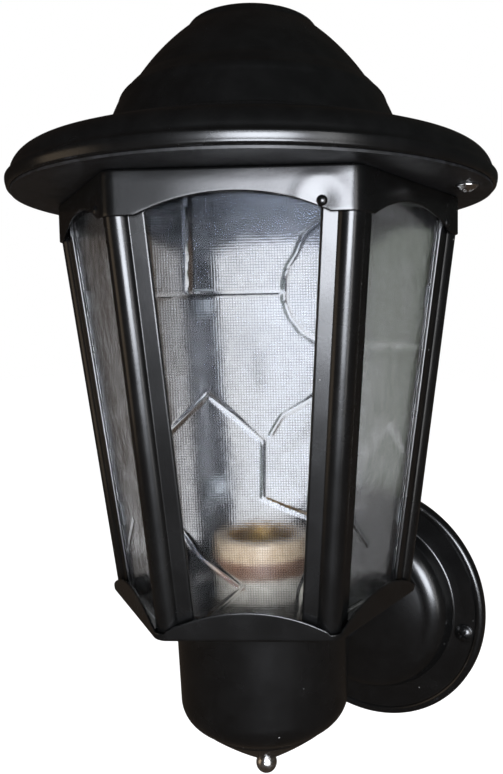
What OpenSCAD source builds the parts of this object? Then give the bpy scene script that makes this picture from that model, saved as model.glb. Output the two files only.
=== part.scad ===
// Wall lantern of painted sheet metal with six figured glass panes.
// The wall is the plane y = 0, the lantern hangs on its -Y side, and +Z is up.
// The origin is the centre of the round wall plate, on the wall.

/* [Wall plate and arm] */
// Distance from the wall to the upright axis of the lantern
arm_reach = 110; // [104:1:120]
// Outer radius of the wall plate
plate_r = 60.2; // [59:0.1:64]
// Height of the flat band of the wall plate off the wall
plate_band_h = 4; // [3.8:0.1:4.6]
// Radius of the raised boss where it leaves the flat band
boss_r = 45.3; // [43:0.1:46]
// Height of the crown of the boss off the wall
boss_h = 19; // [18:0.5:22]
// Radius of the circle on which the plate screws sit
plate_screw_r = 51.2; // [50:0.1:51.6]
// Outer radius of the arm tube
arm_r = 8; // [7:0.1:8.5]
// Turn of the wall plate and its crossbar from level, in degrees
plate_turn = -10.2; // [-30:0.2:30]
// Diameter of the circle of wall screw holes in the crossbar
wall_hole_pcd = 60; // [58:1:64]
// Radius of the wall screw holes
wall_hole_r = 2.25; // [2:0.05:2.6]

/* [Cup] */
// Radius of the cup just under its lip
cup_top_r = 34.5; // [33.8:0.1:35.2]
// Radius of the cup where its round shoulder begins
cup_low_r = 33.2; // [32.6:0.1:33.6]
// Level of the bottom of the cup below the arm
cup_drop = 28; // [27:0.5:32]
// Radius of the ball nut
ball_r = 4.2; // [4:0.1:5]

/* [Glass body] */
// Turn of the six-sided body round its upright axis, in degrees
body_turn = 25; // [0:1:60]
// Level of the underside of the lower collar
tray_z = 38.4; // [36:0.2:42]
// Level of the lower edge of the upper collar
collar_z = 176; // [160:1:192]
// Distance from the axis to the corners of the glass frame at the upper collar
frame_top_r = 74.3; // [70:0.1:80]
// Distance from the axis to the corners of the glass frame at the lower collar
frame_low_r = 56.4; // [55.8:0.1:56.8]
// Radius of the round bead down each corner post
bead_r = 3.9; // [3.5:0.1:4]
// Width of a post's flange from the corner line
flange_reach = 8.8; // [8.2:0.1:9.6]
// Thickness of the glass
glass_t = 3; // [2:0.1:3.2]
// Thickness of the sheet metal
sheet = 0.8; // [0.6:0.1:0.9]

/* [Collars] */
// Gap between the glass frame and the upper collar's sides
collar_gap = 0.26; // [0.14:0.02:0.5]
// Height of the upper collar at its corners
collar_h = 14.1; // [13:0.1:16]
// Rise of the arch cut in each side of the upper collar
collar_arch = 5.9; // [4:0.1:7]
// Distance of the ends of that arch from the corners of the glass frame
arch_margin = 9.15; // [8.15:0.05:11.15]
// Distance of the lower collar's sides outside the glass frame
tray_out = 3.75; // [3.4:0.05:4.5]
// Height of the lower collar at its corners
tray_corner_h = 2.8; // [2.4:0.1:4]
// Rise of the arched top of each side of the lower collar
tray_arch = 7.7; // [5:0.1:9]
// Outer radius of the collars' corners
corner_r = 5; // [4:0.1:5.4]

/* [Roof] */
// Outer radius of the brim
brim_r = 89.8; // [84:0.1:98]
// Radius of the rolled edge of the brim
rim_bead = 2; // [1.8:0.1:2.2]
// Radius of the dome at its base
dome_r = 55.5; // [54:0.5:57]
// Height of the dome's base above the roof plate
dome_base_h = 20.6; // [20:0.2:22]
// Height of the apex above the roof plate
roof_h = 67.8; // [67:0.2:70]
// Direction of the roof screws round the axis from the front, in degrees
roof_screw_turn = 96.5; // [85:0.5:110]
// Distance of the roof screws inside the outer four fifths of the overhang
roof_screw_in = 5.24; // [4.84:0.1:6.54]

/* [Lampholder] */
// Outer radius of the porcelain lampholder
holder_r = 18.75; // [18:0.05:19.2]
// Level of the top of the lampholder
holder_top = 62; // [60:0.5:66]
// Inner radius of the screw shell for the lamp cap
shell_r = 13.2; // [13.1:0.05:13.4]

/* [Fits] */
// Gap round a shank in its clearance hole
hole_gap = 0.3; // [0.15:0.05:0.4]
// Gap between the rolled edge of the roof and the roof plate
seat_gap = 0.05; // [0.02:0.01:0.1]

/* [Hidden] */
$fn = 96;
eps = 0.01;

// Levels of the body
body_h = collar_z - tray_z;
tray_top = tray_z + sheet;
flange_z = collar_z + collar_h;
flange_low = flange_z - sheet;
roof_z = flange_z + sheet;
span = 2 * brim_r;

// Slant of the corners and of the faces of the glass frame
corner_slope = (frame_top_r - frame_low_r) / body_h;
post_lean = atan(corner_slope);
face_lean = atan(corner_slope * cos(30));
frame_flat = frame_top_r * cos(30);
collar_flat = frame_flat + corner_slope * cos(30) * collar_h + sheet + collar_gap;
collar_arch_w = frame_top_r / 2 - arch_margin;
tray_flat = frame_low_r * cos(30) + tray_out;
bead_inset = 2.75;
flange_side = atan(tan(30) * cos(post_lean));
bead_depth = bead_inset * cos(post_lean) * cos(flange_side);
bead_shift = bead_inset * cos(post_lean) * sin(flange_side);
flange_end = flange_reach - bead_shift;
hem = 2 * sheet;
pane_edge = 3;
pane_top_gap = 0.8;
pane_over = body_h + 12;
post_over = body_h + 22;
clip_levels = [-0.81 * body_h, -0.2 * body_h];

// Tab and rivet that join each post to the upper collar
tab_in = frame_top_r / 2 - 12.15;
tab_out = tab_in + 8;
tab_low = 2;
rivet_x = tab_in + 2;
rivet_z = 3.2;
rivet_r = 1.1;
rivet_head_r = 1.75;

// Foot of each post on the lower collar
foot_at = 12;
foot_r = 4.5;
foot_neck = 1.2;
foot_rivet_r = 1.5;
open_r = collar_flat - 15;
plate_rivet_at = collar_flat - 9;

// Fixings of the roof
overhang = brim_r - collar_flat;
roof_screw_r = brim_r - overhang / 5 - roof_screw_in;
roof_shank = 1.9;
tab_t = 1.2;
tab_w = 12;
tab_back = 8;
tab_len = brim_r - 5.3 - roof_screw_r + tab_back;

// Rod, bracket and lampholder
rod_r = 2.5;
rod_low = -cup_drop - 6.5;
bracket_z = 12;
bracket_t = 1.5;
bracket_w = 16;
bracket_leg = 24;
bracket_ear = 31;
bracket_screw_at = 28;
bracket_shank = 1.75;
holder_z = bracket_z + bracket_t;
holder_hole = 20;
floor_z = 22;
shell_t = 0.7;
band_h = 6.5;
ring_h = 7.5;
neck_r = holder_r - 1.2;
ring_z = holder_top - ring_h;
band_z = ring_z - band_h;
holder_screw_at = 10;
holder_shank = 1.6;
holder_head = 3;
wire_x = 4;
wire_y = 12;

// Arm
nipple_r = 5;
nipple_bore = 3.8;
nipple_back = 6;
nipple_front = arm_reach - 21;
saddle_flat = arm_reach - 28;
saddle_r = 9;
nut_flat = 7;
nut_h = 4;

// Crossbar and terminals, in the frame of the turned wall plate
bar_w = 20;
bar_t = 2;
bar_half = 54.5;
bar_step = 42;
bar_end_top = plate_band_h - sheet;
plate_shank = 2;
plate_head_r = 4.5;
plate_head_h = 2.6;
earth_at = -16;
earth_shank = 2;
block_at = 17.5;
block_size = [16, 20, 9];
way_pitch = 5;
way_h = 4.5;
sleeve = [4, 18, 4];
sleeve_bore = 1.3;
terminal_screw_r = 1.1;
wire_r = 1.2;

black = "#1b1c20";
steel = "#b9bcc0";
brass = "#b8913f";
zinc = "#9ea3a8";

// Points of an arc from a to b that bows to the left by s, without a
function bow(a, b, s, n) =
    let (
        c = b - a,
        len = norm(c),
        r = (len * len / 4 + s * s) / (2 * abs(s)),
        half = asin(len / (2 * r)),
        along = c / len,
        side = [-c.y, c.x] / len * sign(s)
    )
    [for (i = [1:n])
        let (t = half * (2 * i / n - 1))
        (a + b) / 2 + along * r * sin(t) + side * r * (cos(t) - cos(half))];

// Points of a circle's arc about c from angle a to angle b
function turn(c, r, a, b, n) = [for (i = [0:n]) c + r * [cos(a + (b - a) * i / n), sin(a + (b - a) * i / n)]];

// Left normal of a segment, and the path set back by t behind its left side
function left(a, b) = [a.y - b.y, b.x - a.x] / norm(b - a);
function behind(p, t) = [
    for (i = [0:len(p) - 1])
        let (
            n1 = i > 0 ? left(p[i - 1], p[i]) : left(p[0], p[1]),
            n2 = i < len(p) - 1 ? left(p[i], p[i + 1]) : n1,
            m = n1 + n2
        )
        p[i] - t * m * 2 / (m * m)
];
function reversed(p) = [for (i = [len(p) - 1:-1:0]) p[i]];
function skin(p, t) = concat(p, reversed(behind(p, t)));

// A line that starts at x = 0, with its mirror image before it
function both_sides(p) = concat([for (i = [len(p) - 1:-1:1]) [-p[i].x, p[i].y]], [for (i = [1:len(p) - 1]) p[i]]);

// Outline of a six-sided figure with rounded corners
function rounded_hex(flat, r) = [
    for (k = [0:5])
        each turn((flat - r) / cos(30) * [cos(60 * k), sin(60 * k)], r, 60 * k - 30, 60 * k + 30, 6)
];

// Radius and centre height of an arch from its half width and its rise
function arch_radius(w, rise) = (w * w + rise * rise) / (2 * rise);

// Tube of radius r along a path of points
function sweep_ring(p, i, r, n) =
    let (
        a = i > 0 ? (p[i] - p[i - 1]) / norm(p[i] - p[i - 1]) : (p[1] - p[0]) / norm(p[1] - p[0]),
        b = i < len(p) - 1 ? (p[i + 1] - p[i]) / norm(p[i + 1] - p[i]) : a,
        d = (a + b) / norm(a + b),
        helper = [0.9, 0.2, 0.38],
        e = cross(d, helper) / norm(cross(d, helper)),
        f = cross(d, e)
    )
    [for (k = [0:n - 1]) p[i] + r * (cos(360 * k / n) * e + sin(360 * k / n) * f)];

module tube_along(p, r, n = 8) {
    rings = len(p);
    points = [for (i = [0:rings - 1]) each sweep_ring(p, i, r, n)];
    sides = [
        for (i = [0:rings - 2], k = [0:n - 1])
            let (a = i * n + k, b = i * n + (k + 1) % n)
            each [[a, b, b + n], [a, b + n, a + n]]
    ];
    ends = [[for (k = [n - 1:-1:0]) k], [for (k = [0:n - 1]) (rings - 1) * n + k]];
    polyhedron(points, concat(sides, ends));
}

// Frames in which the pieces are drawn
module on_axis() {
    translate([0, -arm_reach, 0]) children();
}

module on_body() {
    on_axis() rotate([0, 0, body_turn]) children();
}

module on_wall() {
    rotate([90, 0, 0]) children();
}

module on_turned_plate() {
    on_wall() rotate([0, 0, plate_turn]) children();
}

// Corner k: x runs outward at the corner, and z runs up the slanting post
module at_corner(k) {
    rotate([0, 0, 60 * (k - 3)])
        translate([frame_top_r - bead_inset, 0, collar_z])
            rotate([0, post_lean, 0])
                children();
}

// Face k: x runs across the face, y up the slant, and z straight out
module at_face(k) {
    rotate([0, 0, 60 * (k - 1)])
        translate([0, -frame_flat, collar_z])
            rotate([90 + face_lean, 0, 0])
                children();
}

module between_levels(low, high) {
    intersection() {
        children();
        translate([-span, -span, low]) cube([2 * span, 2 * span, high - low]);
    }
}

module cross_recess(size, depth) {
    for (a = [0, 90]) {
        rotate([0, 0, a])
            translate([-size / 2, -size / 10, -depth])
                cube([size, size / 5, depth + 1]);
    }
}

// Rounded head on z = 0 with a cross recess
module pan_head(r, h) {
    ball = (r * r + h * h) / (2 * h) + h * 0.15;
    difference() {
        intersection() {
            cylinder(r = r, h = h);
            translate([0, 0, h - ball]) sphere(r = ball);
        }
        translate([0, 0, h]) cross_recess(r * 1.05, h * 0.6);
    }
}

// Rivet: domed head above z = 0, shank down through a stack, and a flat tail
module rivet(head_r, shank_r, stack, tail_r, tail_h) {
    dome = head_r * 0.5;
    ball = (head_r * head_r + dome * dome) / (2 * dome);
    intersection() {
        cylinder(r = head_r + 1, h = dome + 1);
        translate([0, 0, dome - ball]) sphere(r = ball);
    }
    translate([0, 0, -stack]) cylinder(r = shank_r, h = stack + eps);
    translate([0, 0, -stack - tail_h]) cylinder(r = tail_r, h = tail_h);
}

// Roof, with its outline from the apex out to the rolled edge
rim_x = brim_r - rim_bead;
rim_z = roof_z + rim_bead + seat_gap;
skirt_x = brim_r - 0.6;
apex = [0, roof_z + roof_h];
crown_flat = [3, roof_z + roof_h];
crown_edge = [19, roof_z + roof_h - 3.3];
cap_top = [23.3, roof_z + roof_h - 5.1];
cap_base = [24.7, roof_z + roof_h - 7.2];
neck_ring = [43.6, roof_z + 40.5];
shoulder_top = [47.4, roof_z + 36.7];
shoulder_low = [50.2, roof_z + 32.5];
dome_foot = [dome_r - 0.5, roof_z + dome_base_h + 1.1];
brim_top = [dome_r + 1.1, roof_z + dome_base_h - 0.3];
brim_edge = [brim_r - 5.8, roof_z + 11.7];
skirt_top = [skirt_x, roof_z + 5.7];

roof_line = concat(
    [apex, crown_flat],
    bow(crown_flat, crown_edge, 0.7, 6),
    bow(crown_edge, cap_top, 0.35, 4),
    [cap_base],
    bow(cap_base, neck_ring, 1.1, 12),
    [shoulder_top],
    bow(shoulder_top, shoulder_low, 0.5, 5),
    [dome_foot],
    bow(dome_foot, brim_top, -0.35, 4),
    bow(brim_top, brim_edge, 0.35, 6),
    bow(brim_edge, skirt_top, 1.3, 8),
    turn([rim_x, rim_z], rim_bead, 48, -190, 18)
);
roof_inside = behind(roof_line, sheet);
crown_end = 24;
tab_roof_end = len(roof_line) - 20;

// Section of the roof between two of its points
function roof_part(a, b) = concat(
    [for (i = [a:b]) roof_line[i]],
    [for (i = [b:-1:a]) roof_inside[i]]
);

module roof() {
    color(black) on_axis() rotate_extrude($fn = 120) polygon(roof_part(crown_end, len(roof_line) - 1));
}

// Crown of the roof, from its apex down to the ring round the neck
module roof_crown() {
    color(black) on_axis() rotate_extrude($fn = 120) polygon(roof_part(0, crown_end));
}

module roof_space() {
    rotate_extrude($fn = 120)
        polygon(concat(
            [[0, roof_z]],
            [for (i = [0:tab_roof_end]) roof_inside[i]],
            [[roof_inside[tab_roof_end].x, roof_z]]
        ));
}

module at_roof_screws() {
    for (a = [0, 180]) {
        rotate([0, 0, roof_screw_turn - 90 + a])
            translate([roof_screw_r, 0, roof_z])
                children();
    }
}

module roof_tabs() {
    color(black) on_axis() intersection() {
        at_roof_screws() difference() {
            union() {
                translate([-tab_back, -tab_w / 2, 0]) cube([tab_len, tab_w, tab_t]);
                translate([-tab_back, -tab_w / 2, 0]) cube([tab_t, tab_w, 30]);
            }
            translate([0, 0, -1]) cylinder(r = roof_shank, h = 5, $fn = 32);
        }
        roof_space();
    }
}

module roof_screws() {
    color(steel) on_axis() at_roof_screws() translate([0, 0, -sheet]) mirror([0, 0, 1]) {
        pan_head(4, 2.5);
        translate([0, 0, -5]) cylinder(r = roof_shank, h = 5 + eps, $fn = 32);
    }
}

module at_plate_rivets() {
    for (a = [0, 120, 240]) {
        rotate([0, 0, a]) translate([0, -plate_rivet_at, 0]) children();
    }
}

module roof_plate() {
    color(black) difference() {
        on_axis() difference() {
            translate([0, 0, flange_z]) cylinder(r = rim_x + 0.2, h = sheet, $fn = 120);
            translate([0, 0, flange_z - 1]) cylinder(r = open_r, h = 4);
            at_roof_screws() translate([0, 0, -3]) cylinder(r = roof_shank + hole_gap, h = 5, $fn = 32);
        }
        on_body() at_plate_rivets() translate([0, 0, flange_low - 1]) cylinder(r = foot_rivet_r, h = 5, $fn = 32);
    }
}

module plate_rivets() {
    color(zinc) on_body() at_plate_rivets() translate([0, 0, roof_z])
        rivet(3, foot_rivet_r, 2 * sheet, 2.4, 0.9);
}

// Prism over the opening of an arch: width, springing level and rise are those of one side
module arch_hole(w, rise, level) {
    r = arch_radius(w, rise);
    translate([0, -collar_flat / 2, level + rise - r])
        rotate([90, 0, 0])
            cylinder(r = r, h = collar_flat, $fn = 180);
}

module at_collar_rivet(k) {
    rotate([0, 0, 60 * (k - 1)])
        translate([rivet_x, -collar_flat, collar_z + rivet_z])
            rotate([90, 0, 0])
                children();
}

module upper_collar() {
    color(black) on_body() difference() {
        translate([0, 0, collar_z]) linear_extrude(collar_h) polygon(rounded_hex(collar_flat, corner_r));
        translate([0, 0, collar_z - 1])
            linear_extrude(collar_h + 1 - sheet)
                polygon(rounded_hex(collar_flat - sheet, corner_r - sheet));
        translate([0, 0, collar_z]) cylinder(r = open_r, h = collar_h + 1);
        for (k = [1:6]) {
            rotate([0, 0, 60 * (k - 1)]) arch_hole(collar_arch_w, collar_arch, collar_z + 0.7);
            at_collar_rivet(k) translate([0, 0, -3]) cylinder(r = rivet_r, h = 5, $fn = 32);
        }
        at_plate_rivets() translate([0, 0, flange_low - 1]) cylinder(r = foot_rivet_r, h = 4, $fn = 32);
    }
}

module collar_rivets() {
    color(black) on_body() for (k = [1:6]) {
        at_collar_rivet(k) rivet(rivet_head_r, rivet_r, 2 * sheet, 1.4, 0.6);
    }
}

// Corner post: one flange, in the frame of the bead's centre, on the side s = 1 or -1
module flange_section(s) {
    scale_s = [1, s];
    across = [-sin(flange_side), cos(flange_side)];
    out = [cos(flange_side), sin(flange_side)];
    start = sqrt(bead_r * bead_r - bead_depth * bead_depth) - 0.4;
    corners = [
        [bead_depth, start],
        [bead_depth, flange_end],
        [bead_depth - hem, flange_end],
        [bead_depth - hem, flange_end - 4],
        [bead_depth - sheet, flange_end - 4],
        [bead_depth - sheet, start]
    ];
    polygon([for (c = corners) let (p = c[0] * out + c[1] * across) [p.x * scale_s.x, p.y * scale_s.y]]);
}

module bead_section() {
    open_at = flange_side + acos(bead_depth / bead_r);
    polygon(concat(
        turn([0, 0], bead_r, -open_at, open_at, 24),
        turn([0, 0], bead_r - sheet, open_at, -open_at, 24)
    ));
}

module post_foot() {
    translate([frame_low_r - bead_inset, 0, tray_top]) {
        difference() {
            union() {
                translate([-foot_at, 0, 0]) cylinder(r = foot_r, h = sheet);
                translate([-foot_at, -foot_neck, 0]) cube([foot_at + bead_r - sheet / 2, 2 * foot_neck, sheet]);
            }
            translate([-foot_at, 0, -1]) cylinder(r = foot_rivet_r, h = 4, $fn = 32);
        }
    }
}

module post_tab(k) {
    rotate([0, 0, 60 * (k - 2)]) difference() {
        translate([tab_in, -collar_flat + sheet, collar_z + tab_low])
            cube([tab_out - tab_in, sheet, collar_h - tab_low - sheet - 0.2]);
        translate([rivet_x, -collar_flat + 5, collar_z + rivet_z])
            rotate([90, 0, 0])
                cylinder(r = rivet_r, h = 8, $fn = 32);
    }
}

module post(k) {
    color(black) on_body() {
        between_levels(tray_top, collar_z + 1.5)
            at_corner(k) translate([0, 0, -post_over]) linear_extrude(post_over + collar_h) union() {
                bead_section();
                flange_section(1);
                flange_section(-1);
            }
        between_levels(collar_z, flange_low - 0.2)
            at_corner(k) translate([0, 0, -collar_h]) linear_extrude(3 * collar_h) union() {
                flange_section(1);
                flange_section(-1);
            }
        rotate([0, 0, 60 * (k - 3)]) post_foot();
        post_tab(k);
    }
}

// Glass pane: half its width at height y of the slanting face
function pane_half(y) = (frame_top_r + corner_slope * y * cos(face_lean)) / 2 - bead_shift - pane_edge;

module pane(k) {
    color("#c9d6d2", 0.45) on_body()
        between_levels(tray_top, flange_low - pane_top_gap)
            at_face(k) translate([0, 0, -hem - glass_t]) linear_extrude(glass_t) polygon([
                [-pane_half(-pane_over), -pane_over],
                [pane_half(-pane_over), -pane_over],
                [pane_half(1.5 * collar_h), 1.5 * collar_h],
                [-pane_half(1.5 * collar_h), 1.5 * collar_h]
            ]);
}

// Clip: a stem from the inside of the bead and two wings behind the panes
module clip_section() {
    across = [-sin(flange_side), cos(flange_side)];
    out = [cos(flange_side), sin(flange_side)];
    back = bead_depth - hem - glass_t;
    root = (back - sheet) / cos(flange_side) - 0.9;
    intersection() {
        translate([root, -0.5]) square([12, 1]);
        union() {
            circle(r = bead_r - sheet - 0.05, $fn = 64);
            translate([-12, -1]) square([12, 2]);
        }
    }
    for (s = [1, -1]) {
        wing = [[back, 1.0], [back, flange_end - 0.4], [back - sheet, flange_end - 0.4], [back - sheet, 0]];
        polygon([for (c = wing) let (p = c[0] * out + c[1] * across) [p.x, p.y * s]]);
    }
}

module glass_clips() {
    color(zinc) on_body() for (k = [1:6], z = clip_levels) {
        at_corner(k) translate([0, 0, z]) linear_extrude(8) clip_section();
    }
}

module at_foot_rivets() {
    for (k = [1:6]) {
        rotate([0, 0, 60 * k])
            translate([frame_low_r - bead_inset - foot_at, 0, 0])
                children();
    }
}

module lower_collar() {
    arch_top = tray_z + tray_corner_h + tray_arch;
    corner_mid = (tray_flat - corner_r) / cos(30) + corner_r;
    arch_w = tray_flat * tan(30) - 1.7;
    r = arch_radius(arch_w, tray_arch);
    color(black) difference() {
        on_body() difference() {
            translate([0, 0, tray_z])
                linear_extrude(arch_top - tray_z)
                    polygon(rounded_hex(tray_flat, corner_r));
            translate([0, 0, tray_top])
                linear_extrude(arch_top)
                    polygon(rounded_hex(tray_flat - sheet, corner_r - sheet));
            for (k = [1:6]) {
                rotate([0, 0, 60 * k]) difference() {
                    translate([-corner_mid / 2, -1.5 * tray_flat, tray_z + tray_corner_h])
                        cube([corner_mid, tray_flat, 3 * tray_arch]);
                    translate([0, 0, arch_top - r]) rotate([90, 0, 0]) cylinder(r = r, h = 2 * tray_flat, $fn = 180);
                }
            }
            at_foot_rivets() translate([0, 0, tray_z - 1]) cylinder(r = foot_rivet_r, h = 4, $fn = 32);
        }
        on_axis() {
            translate([0, 0, tray_z - 1]) cylinder(r = holder_hole, h = 4);
            at_bracket_screws() translate([0, 0, -3]) cylinder(r = bracket_shank + hole_gap, h = 6, $fn = 32);
        }
    }
}

module foot_rivets() {
    color(black) on_body() at_foot_rivets() translate([0, 0, tray_top + sheet])
        rivet(2.6, foot_rivet_r, 2 * sheet, 2.2, 0.8);
}

// Cup: outline from the inner edge of the rim out and down to the rod's hole
cup_lip = cup_top_r + 0.5;
cup_line = reversed(concat(
    [[cup_lip, tray_z], [cup_lip, tray_z - 3.6], [cup_top_r, tray_z - 4.2], [cup_low_r, -2]],
    bow([cup_low_r, -2], [28.3, -11.4], 1.4, 8),
    [[25.4, -13.6], [24.8, -14.5]],
    bow([24.8, -14.5], [6.5, -cup_drop], 0.3, 5),
    [[rod_r + hole_gap, -cup_drop]]
));

module cup_solid() {
    rotate_extrude() polygon(concat(cup_line, [[0, tray_z], [0, -cup_drop]]));
}

module cup_space() {
    rotate_extrude() polygon(concat(behind(cup_line, -sheet), [[0, tray_z], [0, -cup_drop + sheet]]));
}

module cup() {
    color(black) difference() {
        on_axis() rotate_extrude() polygon(skin(cup_line, -sheet));
        on_wall() translate([0, 0, arm_reach - 45]) cylinder(r = nipple_r + hole_gap, h = 30, $fn = 48);
    }
}

module ball_nut() {
    color("#d4d7da") on_axis() difference() {
        union() {
            translate([0, 0, -cup_drop - 4.8]) sphere(r = ball_r, $fn = 64);
            translate([0, 0, -cup_drop - 3]) cylinder(r = rod_r + 1.1, h = 3, $fn = 48);
        }
        translate([0, 0, rod_low - 0.3]) cylinder(r = rod_r, h = 20, $fn = 48);
    }
}

module centre_rod() {
    color(zinc) on_axis() translate([0, 0, rod_low]) cylinder(r = rod_r, h = holder_z - 0.2 - rod_low, $fn = 48);
}

module rod_nut() {
    color(zinc) on_axis() translate([0, 0, bracket_z - nut_h]) difference() {
        cylinder(r = 4 / cos(30), h = nut_h, $fn = 6);
        translate([0, 0, -1]) cylinder(r = rod_r, h = nut_h + 2, $fn = 48);
    }
}

module at_bracket_screws() {
    for (s = [-1, 1]) {
        translate([s * bracket_screw_at, 0, tray_top]) children();
    }
}

// Bracket: half of its outer line, from the middle of the base out to the end of the ear
bracket_line = concat(
    [[0, bracket_z]],
    turn([bracket_leg - 1.5, bracket_z + 3], 3, -90, 0, 5),
    turn([bracket_leg + 3, tray_z - bracket_t - 1.5], 1.5, 180, 90, 4),
    [[bracket_ear, tray_z - bracket_t]]
);

module holder_bracket() {
    color(zinc) on_axis() difference() {
        rotate([90, 0, 0]) translate([0, 0, -bracket_w / 2]) linear_extrude(bracket_w)
            polygon(skin(both_sides(bracket_line), -bracket_t));
        translate([0, 0, bracket_z - 1]) cylinder(r = rod_r, h = 4, $fn = 48);
        at_bracket_screws() translate([0, 0, -8]) cylinder(r = bracket_shank, h = 10, $fn = 32);
        at_holder_screws() translate([0, 0, -2 - bracket_t]) cylinder(r = holder_shank, h = 4, $fn = 32);
    }
}

module bracket_screws() {
    color(steel) on_axis() at_bracket_screws() {
        pan_head(3.4, 2.2);
        translate([0, 0, -4]) cylinder(r = bracket_shank, h = 4 + eps, $fn = 32);
    }
}

module at_holder_screws() {
    for (s = [-1, 1]) {
        translate([s * holder_screw_at, 0, holder_z]) children();
    }
}

module holder_body() {
    color("#ece7da") on_axis() difference() {
        rotate_extrude() polygon(concat(
            [[0, holder_z]],
            bow([holder_r - 1.2, holder_z], [holder_r, holder_z + 1.2], -0.3, 3),
            [[holder_r, band_z], [neck_r, band_z], [neck_r, ring_z], [0, ring_z]]
        ));
        translate([0, 0, floor_z]) cylinder(r = shell_r + shell_t, h = holder_top);
        at_holder_screws() {
            translate([0, 0, -1]) cylinder(r = holder_shank + hole_gap, h = 20, $fn = 32);
            translate([0, 0, 5]) cylinder(r = holder_head + hole_gap, h = 20, $fn = 32);
        }
        for (s = [-1, 1]) {
            translate([s * wire_x, wire_y, holder_z - 1]) cylinder(r = wire_r + hole_gap, h = 5.5, $fn = 32);
        }
    }
}

module holder_band() {
    color("#8a5a33") on_axis() translate([0, 0, band_z]) difference() {
        cylinder(r = holder_r, h = band_h);
        translate([0, 0, -1]) cylinder(r = neck_r, h = band_h + 2);
    }
}

module holder_ring() {
    inner = shell_r + shell_t;
    color("#e9dcc0") on_axis() rotate_extrude() polygon(concat(
        [[inner, ring_z], [holder_r, ring_z], [holder_r, holder_top - 1.5]],
        bow([holder_r, holder_top - 1.5], [holder_r - 1.5, holder_top], -0.4, 4),
        [[inner, holder_top]]
    ));
}

module screw_shell() {
    color(brass) on_axis() translate([0, 0, floor_z + 4]) difference() {
        cylinder(r = shell_r + shell_t, h = holder_top - floor_z - 5);
        translate([0, 0, -1]) cylinder(r = shell_r, h = holder_top);
    }
}

module centre_contact() {
    color(brass) on_axis() {
        translate([0, 0, floor_z]) cylinder(r = 3.2, h = 1.2, $fn = 48);
        translate([0, 0, floor_z + 1]) cylinder(r = 2.2, h = 1.8, $fn = 48);
    }
}

module holder_screws() {
    color(steel) on_axis() at_holder_screws() {
        translate([0, 0, 5]) pan_head(holder_head, 2);
        translate([0, 0, -bracket_t]) cylinder(r = holder_shank, h = 5 + bracket_t + eps, $fn = 32);
    }
}

// Arm
module arm_tube() {
    color(black) difference() {
        on_wall() difference() {
            translate([0, 0, boss_h]) cylinder(r = arm_r, h = arm_reach - boss_h - 10, $fn = 64);
            cylinder(r = nipple_r + hole_gap, h = arm_reach, $fn = 48);
        }
        on_axis() cup_solid();
    }
}

module arm_nipple() {
    color(zinc) on_wall() translate([0, 0, nipple_back]) difference() {
        cylinder(r = nipple_r, h = nipple_front - nipple_back, $fn = 48);
        translate([0, 0, -1]) cylinder(r = nipple_bore, h = arm_reach, $fn = 48);
    }
}

module arm_saddle() {
    color(zinc) difference() {
        intersection() {
            on_wall() translate([0, 0, saddle_flat - 15]) cylinder(r = saddle_r, h = 15, $fn = 64);
            on_axis() cup_space();
        }
        on_wall() cylinder(r = nipple_r + hole_gap, h = arm_reach, $fn = 48);
    }
}

module arm_nuts() {
    color(zinc) on_wall() for (h = [boss_h - sheet - nut_h, saddle_flat]) {
        translate([0, 0, h]) difference() {
            cylinder(r = nut_flat / cos(30), h = nut_h, $fn = 6);
            translate([0, 0, -1]) cylinder(r = nipple_r, h = nut_h + 2, $fn = 48);
        }
    }
}

// Wall plate: outline from the middle of the boss out to the edge on the wall
plate_bead = 2.35;
plate_bead_x = plate_r - plate_bead;
plate_bead_h = 2.6;
plate_bead_end = 180 - asin((plate_band_h - plate_bead_h) / plate_bead);
boss_top = 12;
plate_line = concat(
    [[nipple_r + hole_gap, boss_h], [boss_top, boss_h]],
    bow([boss_top, boss_h], [boss_r - 11.3, boss_h - 3.4], 0.7, 5),
    bow([boss_r - 11.3, boss_h - 3.4], [boss_r - 1.5, boss_h - 11], 2.3, 9),
    [[boss_r - 0.6, plate_band_h + 1.2]],
    bow([boss_r - 0.6, plate_band_h + 1.2], [boss_r + 0.7, plate_band_h], -0.3, 3),
    turn([plate_bead_x, plate_bead_h], plate_bead, plate_bead_end, 0, 12),
    [[plate_r, 0]]
);

module at_plate_screws() {
    for (s = [-1, 1]) {
        translate([s * plate_screw_r, 0, plate_band_h]) children();
    }
}

module wall_plate() {
    color(black) on_turned_plate() difference() {
        rotate_extrude($fn = 120) polygon(skin(plate_line, sheet));
        at_plate_screws() translate([0, 0, -4]) cylinder(r = plate_shank + hole_gap, h = 8, $fn = 32);
    }
}

module plate_screws() {
    color(black) on_turned_plate() at_plate_screws() {
        pan_head(plate_head_r, plate_head_h);
        translate([0, 0, 0.4 - plate_band_h]) cylinder(r = plate_shank, h = plate_band_h - 0.4 + eps, $fn = 32);
    }
}

// Crossbar: half of its line along the wall, stepped up to the flat band of the plate
bar_rise = bar_end_top - bar_t;
bar_line = [[0, 0], [bar_step, 0], [bar_step + 3, bar_rise], [bar_half, bar_rise]];

module crossbar() {
    color(zinc) on_turned_plate() difference() {
        translate([0, bar_w / 2, 0]) rotate([90, 0, 0]) linear_extrude(bar_w)
            polygon(skin(both_sides(bar_line), -bar_t));
        translate([0, 0, -1]) cylinder(r = 7, h = 6, $fn = 48);
        for (s = [-1, 1]) {
            translate([s * wall_hole_pcd / 2, 0, -1]) cylinder(r = wall_hole_r, h = 6, $fn = 48);
        }
        at_plate_screws() translate([0, 0, -8]) cylinder(r = plate_shank, h = 10, $fn = 32);
        translate([earth_at, 0, -1]) cylinder(r = earth_shank, h = 6, $fn = 32);
    }
}

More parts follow.
